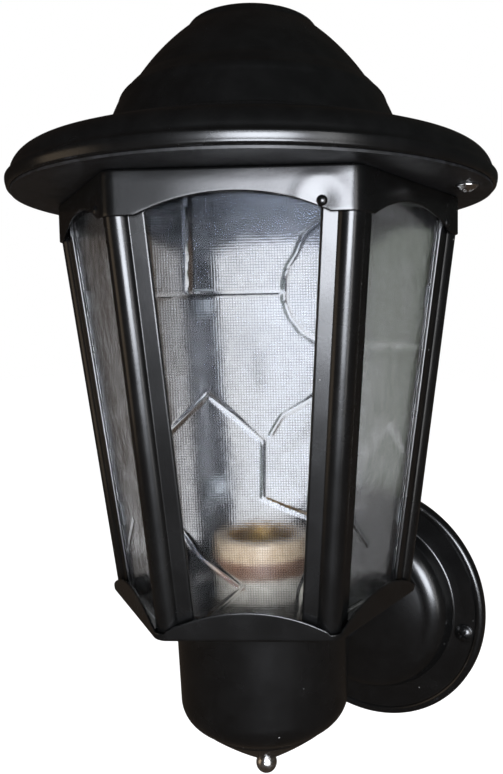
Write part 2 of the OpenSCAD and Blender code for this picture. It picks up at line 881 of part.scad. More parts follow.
module earth_screw() {
    color(brass) on_turned_plate() translate([earth_at, 0, bar_t]) {
        pan_head(3.6, 2.4);
        translate([0, 0, 0.2 - bar_t]) cylinder(r = earth_shank, h = bar_t - 0.2 + eps, $fn = 32);
    }
}

module at_terminal_ways() {
    for (i = [-1:1]) {
        translate([block_at + i * way_pitch, 0, bar_t + way_h]) children();
    }
}

module terminal_block() {
    color("#e6e4dc") on_turned_plate() difference() {
        translate([block_at - block_size.x / 2, -block_size.y / 2, bar_t]) cube(block_size);
        at_terminal_ways() {
            translate([-sleeve.x / 2, -15, -sleeve.z / 2]) cube([sleeve.x, 30, sleeve.z]);
            for (s = [-1, 1]) {
                translate([0, s * 5, 0]) cylinder(r = terminal_screw_r + hole_gap, h = 10, $fn = 24);
            }
        }
    }
}

module terminal_sleeves() {
    color(brass) on_turned_plate() at_terminal_ways() difference() {
        translate([-sleeve.x / 2, -sleeve.y / 2, -sleeve.z / 2]) cube(sleeve);
        translate([0, 20, 0]) rotate([90, 0, 0]) cylinder(r = sleeve_bore, h = 40, $fn = 32);
        for (s = [-1, 1]) {
            translate([0, s * 5, 0]) cylinder(r = terminal_screw_r, h = 10, $fn = 24);
        }
    }
}

module terminal_screws() {
    color(steel) on_turned_plate() at_terminal_ways() for (s = [-1, 1]) {
        translate([0, s * 5, wire_r]) cylinder(r = terminal_screw_r, h = 2.8, $fn = 24);
    }
}

// Inner wires: from the terminals, through the nipple, up into the lampholder
function from_plate(x, y, h) = [
    x * cos(plate_turn) - y * sin(plate_turn),
    -h,
    x * sin(plate_turn) + y * cos(plate_turn)
];
function wire_in_arm(s) = [
    from_plate(s * 1.6, 0, 10),
    from_plate(s * 1.6, 0, 40),
    from_plate(s * 1.6, 0, nipple_front - 3),
    [s * 2, -arm_reach + 18, 1.5],
    [s * 3, -arm_reach + 14, 5],
    [s * wire_x, -arm_reach + wire_y, 10],
    [s * wire_x, -arm_reach + wire_y, holder_z + 4.5]
];
live_route = concat(
    [
        from_plate(block_at - way_pitch, 4, bar_t + way_h),
        from_plate(block_at - way_pitch, 12, bar_t + way_h),
        from_plate(10.5, 14.5, 6),
        from_plate(6, 12, 5),
        from_plate(3, 7, 4.4),
        from_plate(1.8, 2.5, 5)
    ],
    wire_in_arm(1)
);
neutral_route = concat(
    [
        from_plate(block_at, 4, bar_t + way_h),
        from_plate(block_at, 12, bar_t + way_h),
        from_plate(15.5, 16.5, 7),
        from_plate(9, 18.5, 7),
        from_plate(2, 14, 5.5),
        from_plate(-1.2, 7, 4.6),
        from_plate(-1.7, 2.5, 5)
    ],
    wire_in_arm(-1)
);

module live_wire() {
    color("#7a4a2c") tube_along(live_route, wire_r);
}

module neutral_wire() {
    color("#3a63a8") tube_along(neutral_route, wire_r);
}

roof();
roof_crown();
roof_tabs();
roof_screws();
roof_plate();
plate_rivets();
upper_collar();
collar_rivets();
post(1);  // post_1
post(2);  // post_2
post(3);  // post_3
post(4);  // post_4
post(5);  // post_5
post(6);  // post_6
pane(1);  // pane_1
pane(2);  // pane_2
pane(3);  // pane_3
pane(4);  // pane_4
pane(5);  // pane_5
pane(6);  // pane_6
glass_clips();
lower_collar();
foot_rivets();
cup();
ball_nut();
centre_rod();
rod_nut();
holder_bracket();
bracket_screws();
holder_body();
holder_band();
holder_ring();
screw_shell();
centre_contact();
holder_screws();
arm_tube();
arm_nipple();
arm_saddle();
arm_nuts();
wall_plate();
plate_screws();
crossbar();
earth_screw();
terminal_block();
terminal_sleeves();
terminal_screws();
live_wire();
neutral_wire();
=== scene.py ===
import math
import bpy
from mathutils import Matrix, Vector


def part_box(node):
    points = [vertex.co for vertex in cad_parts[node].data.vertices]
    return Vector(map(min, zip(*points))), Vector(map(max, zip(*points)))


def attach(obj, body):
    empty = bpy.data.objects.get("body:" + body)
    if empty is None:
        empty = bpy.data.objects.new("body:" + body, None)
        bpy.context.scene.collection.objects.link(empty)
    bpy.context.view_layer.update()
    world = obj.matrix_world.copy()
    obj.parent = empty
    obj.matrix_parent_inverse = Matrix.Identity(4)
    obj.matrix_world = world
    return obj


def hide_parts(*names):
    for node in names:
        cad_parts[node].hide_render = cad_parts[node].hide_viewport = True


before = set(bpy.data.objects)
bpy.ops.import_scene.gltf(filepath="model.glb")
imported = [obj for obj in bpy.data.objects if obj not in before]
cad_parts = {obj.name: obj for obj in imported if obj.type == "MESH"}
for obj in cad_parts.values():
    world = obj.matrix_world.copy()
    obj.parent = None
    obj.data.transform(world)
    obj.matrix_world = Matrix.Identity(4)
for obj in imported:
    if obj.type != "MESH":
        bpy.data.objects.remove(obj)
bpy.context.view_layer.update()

from types import SimpleNamespace

import bmesh
import bpy
import numpy as np
from bpy.props import FloatProperty, FloatVectorProperty, PointerProperty
from mathutils import Matrix, Vector

bl_info = {
    "name": "Wall Lantern",
    "version": (1, 0, 0),
    "blender": (4, 2, 0),
    "location": "3D View > Sidebar > Lantern",
    "description": "Builds a painted six-sided wall lantern round its solid model",
    "category": "Add Mesh",
}

MM = 0.001
SIDES = range(1, 7)
HALF_SIDE = math.radians(30)  # half of the angle that one side of the body takes up


# Sizes that come from the solid model

def middle_and_half(node, axis):
    """Middle and half the extent of a node of the solid model, in millimetres."""
    low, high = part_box(node)
    return (low[axis] + high[axis]) / 2 / MM, (high[axis] - low[axis]) / 2 / MM


def level(node, top):
    """Level of the top or the underside of a node, in millimetres."""
    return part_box(node)[1 if top else 0].z / MM


def length(name, default, text):
    """A length that is shown in the scene's unit and given here in millimetres."""
    return FloatProperty(name=name, description=text, default=default * MM, min=0, precision=5, unit="LENGTH")


def angle(name, default, text):
    """An angle that is given here in degrees."""
    return FloatProperty(name=name, description=text, default=math.radians(default), unit="ROTATION")


def share(name, default, text):
    """A value from 0 to 1."""
    return FloatProperty(name=name, description=text, default=default, min=0, max=1, subtype="FACTOR")


def colour(name, default, text):
    """A colour, in linear light."""
    return FloatVectorProperty(name=name, description=text, default=default, min=0, max=1, size=3,
                               subtype="COLOR")


def values_of(group):
    """The group's values, with lengths in millimetres and angles in degrees."""
    found = SimpleNamespace()
    for prop in group.bl_rna.properties:
        if prop.identifier in ("rna_type", "name"):
            continue
        value = getattr(group, prop.identifier)
        if prop.type == "FLOAT" and prop.unit == "LENGTH":
            value = value / MM
        elif prop.type == "FLOAT" and prop.unit == "ROTATION":
            value = math.degrees(value)
        setattr(found, prop.identifier, value)
    return found


def sizes_of(*names):
    """The values of the named groups."""
    return [values_of(getattr(bpy.context.scene, f"lantern_{name}")) for name in names]


class LanternPaint(bpy.types.PropertyGroup):
    """Sheet metal and finishes."""
    sheet: length("Sheet", 0.8, "Thickness of the sheet metal")
    cut_edge: length("Cut edge", 0.3, "Rounding of the sheet's cut edges under the paint")
    black: colour("Black paint", (0.0020, 0.0020, 0.0020), "Colour of the semi-gloss paint")
    dust: colour("Dust", (0.30, 0.30, 0.29), "Colour of the dust specks on the paint")
    worn: colour("Worn paint", (0.014, 0.014, 0.016), "Colour of the paint where its edges are rubbed")
    gloss: share("Roughness", 0.24, "Roughness of the paint")
    nickel: colour("Nickel", (0.66, 0.65, 0.64), "Colour of the plated screws and the ball nut")
    zinc: colour("Zinc", (0.20, 0.21, 0.215), "Colour of the plated steel inside")
    brass: colour("Brass", (0.62, 0.42, 0.16), "Colour of the contacts and the screw shell")


class LanternRoof(bpy.types.PropertyGroup):
    """Roof of one spun sheet."""
    brim_r: length("Brim", middle_and_half("roof", 0)[1], "Outer radius of the brim")
    rim_bead: length("Rolled edge", 2, "Outer radius of the rolled edge of the brim")
    dome_r: length("Dome", 55.5, "Radius of the dome at its base")
    dome_base_h: length("Dome base", 20.6, "Height of the dome's base above the roof plate")
    roof_h: length("Height", level("roof_crown", True) - level("roof_plate", True),
                   "Height of the apex above the roof plate")
    screw_turn: angle("Screw direction", 96.5, "Direction of the roof screws round the axis from the front")
    screw_r: length("Screw circle", 80, "Distance of the roof screws from the axis")


class LanternBody(bpy.types.PropertyGroup):
    """Collars and corner posts."""
    arm_reach: length("Arm reach", -middle_and_half("roof", 1)[0], "Distance of the axis from the wall")
    body_turn: angle("Body turn", 25, "Turn of the six-sided body round its upright axis")
    tray_z: length("Lower collar", level("lower_collar", False), "Level of the underside of the lower collar")
    collar_z: length("Upper collar", level("upper_collar", False), "Level of the upper collar's lower edge")
    frame_top_r: length("Frame top", 74.3, "Radius of the frame's corners at the upper collar")
    frame_low_r: length("Frame bottom", 56.4, "Radius of the frame's corners at the lower collar")
    bead_r: length("Bead", 4.6, "Radius of the round bead down each corner post")
    bead_hollow: length("Bead hollow", 0.5, "Radius of the hollow between the bead and a flange")
    bead_inset: length("Bead inset", 3.4, "Distance of the bead's centre inside the corner")
    flange_reach: length("Flange", 10.6, "Width of a post's flange from the corner line")
    hem: length("Hem", 4, "Width of the folded hem of a flange")
    collar_flat: length("Upper collar flat", 67, "Half the width across the flats of the upper collar")
    collar_h: length("Upper collar height", 14.1, "Height of the upper collar at its corners")
    collar_arch: length("Upper arch", 5.9, "Rise of the arch cut in each side of the upper collar")
    collar_arch_w: length("Upper arch width", 28, "Half the width of that arch")
    tray_flat: length("Lower collar flat", 52.6, "Half the width across the flats of the lower collar")
    tray_corner_h: length("Lower collar corner", 2.8, "Height of the lower collar at its corners")
    tray_arch: length("Lower arch", 7.7, "Rise of the arched top of each side of the lower collar")
    corner_r: length("Corner", 6, "Outer radius of the collars' corners")


class LanternGlass(bpy.types.PropertyGroup):
    """Figured glass panes."""
    thickness: length("Thickness", 3, "Thickness of the glass")
    rib_relief: length("Rib relief", 0.45, "Height of the ribs on the inner face")
    rib_width: length("Rib width", 1.9, "Width of the ribs")
    weave: length("Weave", 0.85, "Pitch of the fine weave between the ribs")
    weave_relief: length("Weave relief", 0.005, "Depth of the fine weave")
    tint: colour("Tint", (0.87, 0.88, 0.90), "Colour of the glass")
    # Painted shade: a dark colour laid into the grooves of the weave, standing in for the darker view through
    # them
    painted_groove_shade: colour("Groove", (0.09, 0.095, 0.105), "Colour of the glass in the grooves of the weave")
    shine: colour("Shine", (0.10, 0.11, 0.13), "Tint of what the glass reflects")


class LanternCup(bpy.types.PropertyGroup):
    """Cup and ball nut under the body."""
    top_r: length("Cup top", 34.5, "Radius of the cup just under its lip")
    low_r: length("Cup shoulder", 33.2, "Radius of the cup where its round shoulder begins")
    drop: length("Cup drop", -level("cup", False), "Level of the bottom of the cup below the arm")
    ball_r: length("Ball", 4.2, "Radius of the ball nut")


class LanternWallPlate(bpy.types.PropertyGroup):
    """Round wall plate."""
    plate_r: length("Plate", middle_and_half("wall_plate", 0)[1], "Outer radius of the wall plate")
    band_h: length("Band", 4, "Height of the flat band off the wall")
    boss_r: length("Boss", 45.3, "Radius of the boss where it leaves the band")
    boss_h: length("Boss height", 19, "Height of the crown of the boss off the wall")
    screw_r: length("Screw circle", 51.2, "Radius of the circle of the plate screws")
    turn: angle("Turn", -10.2, "Turn of the plate and its screws from level")


class LanternStage(bpy.types.PropertyGroup):
    """Floor, lights and camera."""
    floor_level: FloatProperty(name="Floor", description="Level of the floor", default=-0.33, unit="LENGTH")
    fill: FloatProperty(name="Fill", description="Strength of the light from all round", default=0.35)
    key: FloatProperty(name="Key", description="Power of the large soft light on the right", default=23.0)
    strip: FloatProperty(name="Strip", description="Power of the tall light on the right", default=2.0)
    warm: FloatProperty(name="Warm", description="Power of the weak warm light on the left", default=0.6)
    low_cloth: colour("Low cloth", (0.055, 0.042, 0.032), "What polished surfaces show near the floor")
    left_cloth: colour("Left cloth", (0.020, 0.015, 0.012), "What polished surfaces show on the left")
    right_cloth: colour("Right cloth", (0.026, 0.027, 0.024), "What polished surfaces show on the right")
    green_card: colour("Green card", (0.150, 0.170, 0.130), "Card seen through the right pane")
    brown_card: colour("Brown card", (0.080, 0.056, 0.038), "Card seen through the left pane")
    lens: FloatProperty(name="Lens", description="Focal length", default=36.04, unit="CAMERA")


# Lines and sections, as points (outward, upward) in millimetres

def point(x, y):
    """A point or a step of a line or section."""
    return Vector((x, y))


def toward(a):
    """One step in the direction of an angle."""
    return point(math.cos(a), math.sin(a))


def bow(start, end, rise, count):
    """Points of an arc from start to end that bows to its left by rise, without start."""
    chord = end - start
    radius = (chord.length_squared / 4 + rise * rise) / (2 * abs(rise))
    half = math.asin(chord.length / (2 * radius))
    along = chord.normalized()
    side = along.orthogonal() * math.copysign(1, rise)
    middle = (start + end) / 2
    places = [half * (2 * i / count - 1) for i in range(1, count + 1)]
    return [middle + along * radius * math.sin(t) + side * radius * (math.cos(t) - math.cos(half))
            for t in places]


def turn(centre, radius, start, end, count):
    """Points of a circle's arc between two angles in degrees."""
    angles = [math.radians(start + (end - start) * i / count) for i in range(count + 1)]
    return [centre + radius * toward(a) for a in angles]


def behind(path, depth):
    """The path set back by depth behind its left side."""
    lefts = [(b - a).normalized().orthogonal() for a, b in zip(path, path[1:])]
    result = []
    for i, p in enumerate(path):
        m = lefts[max(i - 1, 0)] + lefts[min(i, len(lefts) - 1)]
        result.append(p - m * (2 * depth / m.length_squared))
    return result


def skin(path, depth):
    """Closed section of a sheet along a path."""
    return path + behind(path, depth)[::-1]


def rounded(loop, radius, least_turn=35, count=4):
    """The closed section with its sharp corners rounded off."""
    result = []
    for i, corner in enumerate(loop):
        to_last, to_next = loop[i - 1] - corner, loop[(i + 1) % len(loop)] - corner
        if min(to_last.length, to_next.length) < 1e-6 or abs(corner.x) < 1e-6:
            result.append(corner)
            continue
        bend = math.pi - to_last.angle(to_next)
        if math.degrees(bend) < least_turn:
            result.append(corner)
            continue
        cut = min(radius * math.tan(bend / 2), 0.48 * to_last.length, 0.48 * to_next.length)
        a, b = corner + to_last.normalized() * cut, corner + to_next.normalized() * cut
        for step in range(count + 1):
            t = step / count
            result.append(a * (1 - t) ** 2 + corner * 2 * t * (1 - t) + b * t ** 2)
    return result


def arch_radius(half_width, rise):
    """Radius of the circle of an arch."""
    return (half_width ** 2 + rise ** 2) / (2 * rise)


def soft_step(low, high, value):
    """0 below low, 1 above high, and a smooth rise between them."""
    t = np.clip((value - low) / (high - low), 0, 1)
    return t * t * (3 - 2 * t)


# Frames in which the pieces are drawn, in millimetres

def moved(x, y, z):
    """A frame that is moved from its last one."""
    return Matrix.Translation((x, y, z))


def turned(degrees, axis):
    """A frame that is turned from its last one."""
    return Matrix.Rotation(math.radians(degrees), 4, axis)


def at_plate(plate):
    """Middle of the wall plate: x runs along its screws, and z off the wall."""
    return turned(90, "X") @ turned(plate.turn, "Z")


def on_axis(body):
    """Foot of the upright axis, at the level of the wall plate's middle."""
    return moved(0, -body.arm_reach, 0)


def on_body(body, side=1):
    """Foot of the upright axis, turned so that -y looks out through one side of the six-sided body."""
    return on_axis(body) @ turned(body.body_turn + 60 * (side - 1), "Z")


def slants(body):
    """Lean of the posts and of the faces, the directions of a flange, and the bead's place on it."""
    slope = (body.frame_top_r - body.frame_low_r) / (body.collar_z - body.tray_z)
    lean = math.atan(slope)
    flange_side = math.atan(math.tan(HALF_SIDE) * math.cos(lean))
    inset = body.bead_inset * math.cos(lean)
    return SimpleNamespace(
        slope=slope,
        post=lean,
        face=math.atan(slope * math.cos(HALF_SIDE)),
        flange_side=flange_side,
        out=toward(flange_side),
        across=toward(flange_side).orthogonal(),
        bead_depth=inset * math.cos(flange_side),
        bead_shift=inset * math.sin(flange_side),
    )


def at_corner(body, lean, k):
    """Corner k: x runs outward at the corner, and z up the slanting post."""
    return (on_body(body, k - 2) @ moved(body.frame_top_r - body.bead_inset, 0, body.collar_z)
            @ Matrix.Rotation(lean.post, 4, "Y"))


def at_face(body, lean, k):
    """Face k: x runs across the face, y up the slant, and z straight out."""
    flat = body.frame_top_r * math.cos(HALF_SIDE)
    return (on_body(body, k) @ moved(0, -flat, body.collar_z)
            @ Matrix.Rotation(math.radians(90) + lean.face, 4, "X"))


# Meshes

def new_mesh(name, verts, faces, *materials):
    """A mesh from points in metres and their faces."""
    mesh = bpy.data.meshes.new(name)
    mesh.from_pydata(verts, [], faces)
    for material in materials:
        mesh.materials.append(material)
    return mesh


def in_scene(name, data):
    """A new object of the scene."""
    made = bpy.data.objects.new(name, data)
    bpy.context.scene.collection.objects.link(made)
    return made


def new_piece(name, part, slot, replaces, place=Matrix()):
    """Makes a piece from points in millimetres and their faces, smooth with sharp edges, and hangs it
    on the lantern in place of nodes of the solid model."""
    verts, faces = part
    mesh = new_mesh(name, [tuple((place @ Vector(v)) * MM) for v in verts], faces, finish(slot))
    shape = bmesh.new()
    shape.from_mesh(mesh)
    bmesh.ops.remove_doubles(shape, verts=shape.verts, dist=2e-7)
    bmesh.ops.dissolve_degenerate(shape, edges=shape.edges, dist=1e-8)
    bmesh.ops.recalc_face_normals(shape, faces=shape.faces)
    shape.to_mesh(mesh)
    shape.free()
    if not mesh.polygons:
        raise RuntimeError(f"{name} has no faces")
    mesh.shade_smooth()
    mesh.set_sharp_from_angle(angle=math.radians(40))
    piece = in_scene(name, mesh)
    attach(piece, "root")
    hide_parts(*replaces)
    return piece


def rings_between(rings, closed=False):
    """Points and faces of a skin over rings of points, with its two ends closed unless it runs round."""
    count = len(rings[0])
    verts = [p for ring in rings for p in ring]
    faces = []
    for j in range(len(rings) if closed else len(rings) - 1):
        near, far = j * count, (j + 1) % len(rings) * count
        faces += [(near + i, near + (i + 1) % count, far + (i + 1) % count, far + i) for i in range(count)]
    if not closed:
        faces += [tuple(range(count)), tuple(range((len(rings) - 1) * count, len(rings) * count))]
    return verts, faces


def lathe(section, turns):
    """Points and faces of a closed section turned round the upright axis."""
    rings = []
    for k in range(turns):
        a = math.tau * k / turns
        rings.append([(max(p.x, 0) * math.cos(a), max(p.x, 0) * math.sin(a), p.y) for p in section])
    return rings_between(rings, closed=True)


def spun(line, paint, turns):
    """Points and faces of sheet metal spun along its outer line, with softened cut edges."""
    return lathe(rounded(skin(line, paint.sheet), paint.cut_edge), turns)


def joined(*parts):
    """Several lists of points and faces as one."""
    verts, faces = [], []
    for more_verts, more_faces in parts:
        start = len(verts)
        verts += list(more_verts)
        faces += [tuple(i + start for i in face) for face in more_faces]
    return verts, faces


def placed(place, part):
    """The same points and faces at another place."""
    return [tuple(place @ Vector(v)) for v in part[0]], part[1]


def slab(outline, low, high, edge=0.12):
    """A flat piece of sheet from its outline, with softened edges."""
    inner = behind(outline + [outline[0]], edge)[:-1]
    rings = [[(p.x, p.y, low) for p in inner], [(p.x, p.y, low + edge) for p in outline],
             [(p.x, p.y, high - edge) for p in outline], [(p.x, p.y, high) for p in inner]]
    return rings_between(rings)


def screw_head(radius, height, reach, width, depth):
    """Rounded screw head on z = 0 with a cross recess, as a fine polar net."""
    rings, spokes = 34, 120
    ball = (radius ** 2 + height ** 2) / (2 * height) * 1.12
    rim_h = height - (ball - math.sqrt(ball ** 2 - (radius - 0.25) ** 2))
    a = np.linspace(0, math.tau, spokes, endpoint=False)
    r = np.linspace(0.02, radius - 0.25, rings)[:, None]
    x, y = r * np.cos(a), r * np.sin(a)
    z = height - (ball - np.sqrt(ball ** 2 - r ** 2)) + 0 * x

    def slot_depth(along, across):
        soft = 0.12
        inside = 1 - soft_step(reach - 0.35, reach + soft, np.abs(along))
        return inside * (1 - soft_step(width / 2 - soft, width / 2 + soft, np.abs(across)))

    z = z - depth * np.maximum(slot_depth(x, y), slot_depth(y, x))
    net = [[(x[j, i], y[j, i], z[j, i]) for i in range(spokes)] for j in range(rings)]
    for out, up in ((0.07, rim_h - 0.05), (0.0, rim_h - 0.25), (0.0, 0.12), (0.1, 0.0)):
        net.append([((radius - out) * math.cos(t), (radius - out) * math.sin(t), max(up, 0)) for t in a])
    return rings_between(net)


def rivet_head(radius, height):
    """Low domed head on z = 0."""
    ball = (radius ** 2 + height ** 2) / (2 * height)
    edge = math.degrees(math.asin(radius / ball))
    line = turn(point(0, height - ball), ball, 90, 90 - edge, 10)
    return lathe([point(0, -0.3)] + line + [point(radius, -0.3)], 40)


# Finishes

def add(tree, kind, inputs=(), **settings):
    """Adds a node, sets it and links or fills its inputs."""
    node = tree.nodes.new(kind)
    for key, value in settings.items():
        setattr(node, key, value)
    for key, value in dict(inputs).items():
        if isinstance(value, bpy.types.NodeSocket):
            tree.links.new(value, node.inputs[key])
        else:
            node.inputs[key].default_value = value
    return node


def maths(tree, operation, *inputs):
    """Result of a sum on values."""
    return add(tree, "ShaderNodeMath", enumerate(inputs), operation=operation).outputs[0]


def times(tree, a, b):
    return maths(tree, "MULTIPLY", a, b)


def plus(tree, a, b):
    return maths(tree, "ADD", a, b)


def vectors(tree, operation, inputs):
    """Result of a sum on vectors."""
    return add(tree, "ShaderNodeVectorMath", inputs, operation=operation).outputs[0]


def parts_of(tree, vector):
    """The three parts of a vector."""
    return add(tree, "ShaderNodeSeparateXYZ", {0: vector}).outputs


def geometry(tree, key):
    """What the surface tells of the spot that is shaded."""
    return add(tree, "ShaderNodeNewGeometry").outputs[key]


def noise(tree, where, scale, detail=2.0, rough=0.5):
    """Noise whose features are about scale millimetres across."""
    inputs = {"Vector": where, "Scale": 1000 / scale, "Detail": detail, "Roughness": rough}
    return add(tree, "ShaderNodeTexNoise", inputs).outputs["Fac"]


def ramp(tree, value, low, high, to_low=0.0, to_high=1.0):
    """Maps value from low..high to another range, smoothly and without going past it."""
    inputs = {"Value": value, "From Min": low, "From Max": high, "To Min": to_low, "To Max": to_high}
    return add(tree, "ShaderNodeMapRange", inputs, interpolation_type="SMOOTHSTEP").outputs["Result"]


def mixed(tree, share_of, a, b):
    """Mix of two colours by a share from 0 to 1."""
    made = add(tree, "ShaderNodeMix", {"Factor": share_of}, data_type="RGBA")
    for key, value in (("A", a), ("B", b)):
        socket = next(s for s in made.inputs if s.name == key and s.type == "RGBA")
        if isinstance(value, bpy.types.NodeSocket):
            tree.links.new(value, socket)
        else:
            socket.default_value = (*value, 1)
    return next(s for s in made.outputs if s.type == "RGBA")


def bumped(tree, height, distance, normal=None):
    """Bump whose height is distance millimetres for a value of 1."""
    inputs = {"Height": height, "Distance": distance * MM, "Strength": 1.0}
    if normal is not None:
        inputs["Normal"] = normal
    return add(tree, "ShaderNodeBump", inputs).outputs["Normal"]


def shade(tint, factor=1.0):
    """A lighter or darker shade of a colour."""
    return tuple(min(c * factor, 1) for c in tint)


def emptied(block):
    """Node tree of a material or a world, without its nodes."""
    block.use_nodes = True
    block.node_tree.nodes.clear()
    return block.node_tree


def new_material(name):
    """A material with one shader, and the place on the object that its patterns follow."""
    material = bpy.data.materials.new(name)
    tree = emptied(material)
    shader = add(tree, "ShaderNodeBsdfPrincipled")
    add(tree, "ShaderNodeOutputMaterial", {"Surface": shader.outputs[0]})
    where = add(tree, "ShaderNodeTexCoord").outputs["Object"]
    return material, tree, shader, where


def surface(tree, shader, tone, rough, normal):
    """Links the shader's colour, roughness and relief."""
    for key, value in (("Base Color", tone), ("Roughness", rough), ("Normal", normal)):
        tree.links.new(value, shader.inputs[key])


def scaled(tree, where, x, y, z):
    """The place on the object, stretched along its axes."""
    return add(tree, "ShaderNodeMapping", {"Vector": where, "Scale": (x, y, z)}).outputs[0]


def painted(name, paint, grime=0.0, dull=0.0):
    """Semi-gloss paint on sheet metal: orange peel, slow dents, dust specks and rubbed edges."""
    material, tree, shader, where = new_material(name)
    patches = noise(tree, where, 9, 4, 0.6)
    streaks = noise(tree, where, 2.5, 3, 0.6)
    tone = mixed(tree, ramp(tree, patches, 0.35, 0.7, 0, 0.6), shade(paint.black), shade(paint.black, 1.9))
    edge = ramp(tree, geometry(tree, "Pointiness"), 0.535, 0.62)
    edge = times(tree, edge, ramp(tree, streaks, 0.42, 0.62))
    tone = mixed(tree, edge, tone, shade(paint.worn))
    spots = add(tree, "ShaderNodeTexVoronoi", {"Vector": where, "Scale": 1000 / 7.0, "Randomness": 1.0})
    chance = add(tree, "ShaderNodeSeparateColor", {"Color": spots.outputs["Color"]}).outputs[0]
    speck = ramp(tree, spots.outputs["Distance"], 0.018, 0.045, 1, 0)
    speck = times(tree, speck, ramp(tree, chance, 0.72, 0.8))
    tone = mixed(tree, times(tree, speck, 0.8), tone, shade(paint.dust))
    haze = ramp(tree, noise(tree, where, 22, 3, 0.55), 0.4, 0.75, 0, 0.05 + grime)
    rough = plus(tree, plus(tree, paint.gloss + dull, haze), times(tree, speck, 0.4))
    waves = bumped(tree, noise(tree, where, 30, 1), 0.35)
    peel = bumped(tree, noise(tree, where, 1.1, 2, 0.6), 0.012, waves)
    surface(tree, shader, tone, rough, bumped(tree, speck, 0.05, peel))
    shader.inputs["IOR"].default_value = 1.55
    return material


def plated(name, tint, rough, scratch=0.03, tarnish=0.3):
    """Plated metal with fine scratches, dull patches and a little tarnish in the hollows."""
    material, tree, shader, where = new_material(name)
    patches = noise(tree, where, 2.5, 4, 0.6)
    fine = noise(tree, scaled(tree, where, 1, 6, 1), 0.8, 2, 0.6)
    hollow = ramp(tree, geometry(tree, "Pointiness"), 0.40, 0.49, 1, 0)
    dull = maths(tree, "MAXIMUM", hollow, ramp(tree, patches, 0.52, 0.8, 0, 0.6))
    tone = mixed(tree, times(tree, dull, tarnish), shade(tint), shade(tint, 0.32))
    patchy = ramp(tree, patches, 0.3, 0.7, rough * 0.75, rough * 1.5)
    surface(tree, shader, tone, plus(tree, patchy, times(tree, hollow, 0.15)), bumped(tree, fine, scratch))
    shader.inputs["Metallic"].default_value = 1.0
    return material


def moulded(name, tint, rough, coat=0.0, mottle=0.12, dust=0.25):
    """Glazed or moulded insulating material with a mottled body and dust on its upper parts."""
    material, tree, shader, where = new_material(name)
    patches = noise(tree, where, 4, 4, 0.6)
    grain = noise(tree, where, 0.7, 3, 0.6)
    tone = mixed(tree, ramp(tree, patches, 0.3, 0.7), shade(tint, 1 - mottle), shade(tint, 1 + mottle))
    facing_up = parts_of(tree, geometry(tree, "Normal"))[2]
    settled = times(tree, ramp(tree, facing_up, 0.3, 1.0), ramp(tree, grain, 0.4, 0.62, 0, dust))
    tone = mixed(tree, settled, tone, (0.34, 0.31, 0.27))
    patchy = ramp(tree, patches, 0.35, 0.7, rough * 0.8, rough * 1.3)
    surface(tree, shader, tone, plus(tree, patchy, times(tree, settled, 0.6)), bumped(tree, grain, 0.02))
    shader.inputs["Coat Weight"].default_value = coat
    shader.inputs["Coat Roughness"].default_value = 0.08
    return material


def weave_of(tree, glass, where):
    """Relief of the fine weave between the ribs, and the mask of painted shade in its grooves: how deep each
    spot lies in one of them.
    """
    across = add(tree, "ShaderNodeUVMap", uv_map="UVMap").outputs[0]
    wander = add(tree, "ShaderNodeTexNoise", {"Vector": across, "Scale": 1 / (9 * MM), "Detail": 1.0})
    shift = vectors(tree, "SUBTRACT", {0: wander.outputs["Color"], 1: (0.5, 0.5, 0.5)})
    shift = vectors(tree, "SCALE", {0: shift, "Scale": 0.35 * MM})
    parts = parts_of(tree, vectors(tree, "ADD", {0: across, 1: shift}))
    pitch = math.tau / (glass.weave * MM)
    rib = add(tree, "ShaderNodeAttribute", attribute_name="rib").outputs["Fac"]
    plain = maths(tree, "SUBTRACT", 1.0, rib)
    weave = plus(tree, *[maths(tree, "SINE", times(tree, parts[i], pitch)) for i in (0, 1)])
    crossing = []
    for i in (0, 1):
        along = plus(tree, times(tree, parts[i], pitch / 2), math.pi / 4)
        crossing.append(maths(tree, "ABSOLUTE", maths(tree, "COSINE", along)))
    # Mask of the painted shade, strongest along the grooves of the weave
    painted_groove_shade = ramp(tree, maths(tree, "MINIMUM", *crossing), 0.10, 0.55, 1, 0)
    uneven = ramp(tree, noise(tree, where, 2.2, 2), 0.3, 0.6, 0.6, 1)
    return times(tree, weave, plain), times(tree, times(tree, painted_groove_shade, plain), uneven)


def clear_glass(name, glass, figured):
    """Pressed glass: its outer face is smooth, its inner face has a fine weave between the ribs, with painted
    shade in the weave's grooves.
    """
    material, tree, shader, where = new_material(name)
    shader.inputs["Transmission Weight"].default_value = 1.0
    shader.inputs["IOR"].default_value = 1.5
    shader.inputs["Specular Tint"].default_value = (*glass.shine, 1)
    cloud = noise(tree, where, 26, 2)
    tone = mixed(tree, ramp(tree, cloud, 0.35, 0.65), shade(glass.tint), shade(glass.tint, 0.94))
    if figured:
        weave, painted_groove_shade = weave_of(tree, glass, where)
        # Painted shade: the glass colour is darkened in the grooves of the weave
        tone = mixed(tree, painted_groove_shade, tone, shade(glass.painted_groove_shade))
        normal = bumped(tree, noise(tree, where, 3.5, 2), 0.07, bumped(tree, weave, glass.weave_relief))
        rough = ramp(tree, noise(tree, where, 6, 3), 0.4, 0.7, 0.10, 0.18)
    else:
        normal = bumped(tree, noise(tree, where, 14, 1), 0.16)
        rough = ramp(tree, noise(tree, where, 8, 3), 0.4, 0.7, 0.13, 0.19)
    surface(tree, shader, tone, rough, normal)
    return material


_finishes = {}


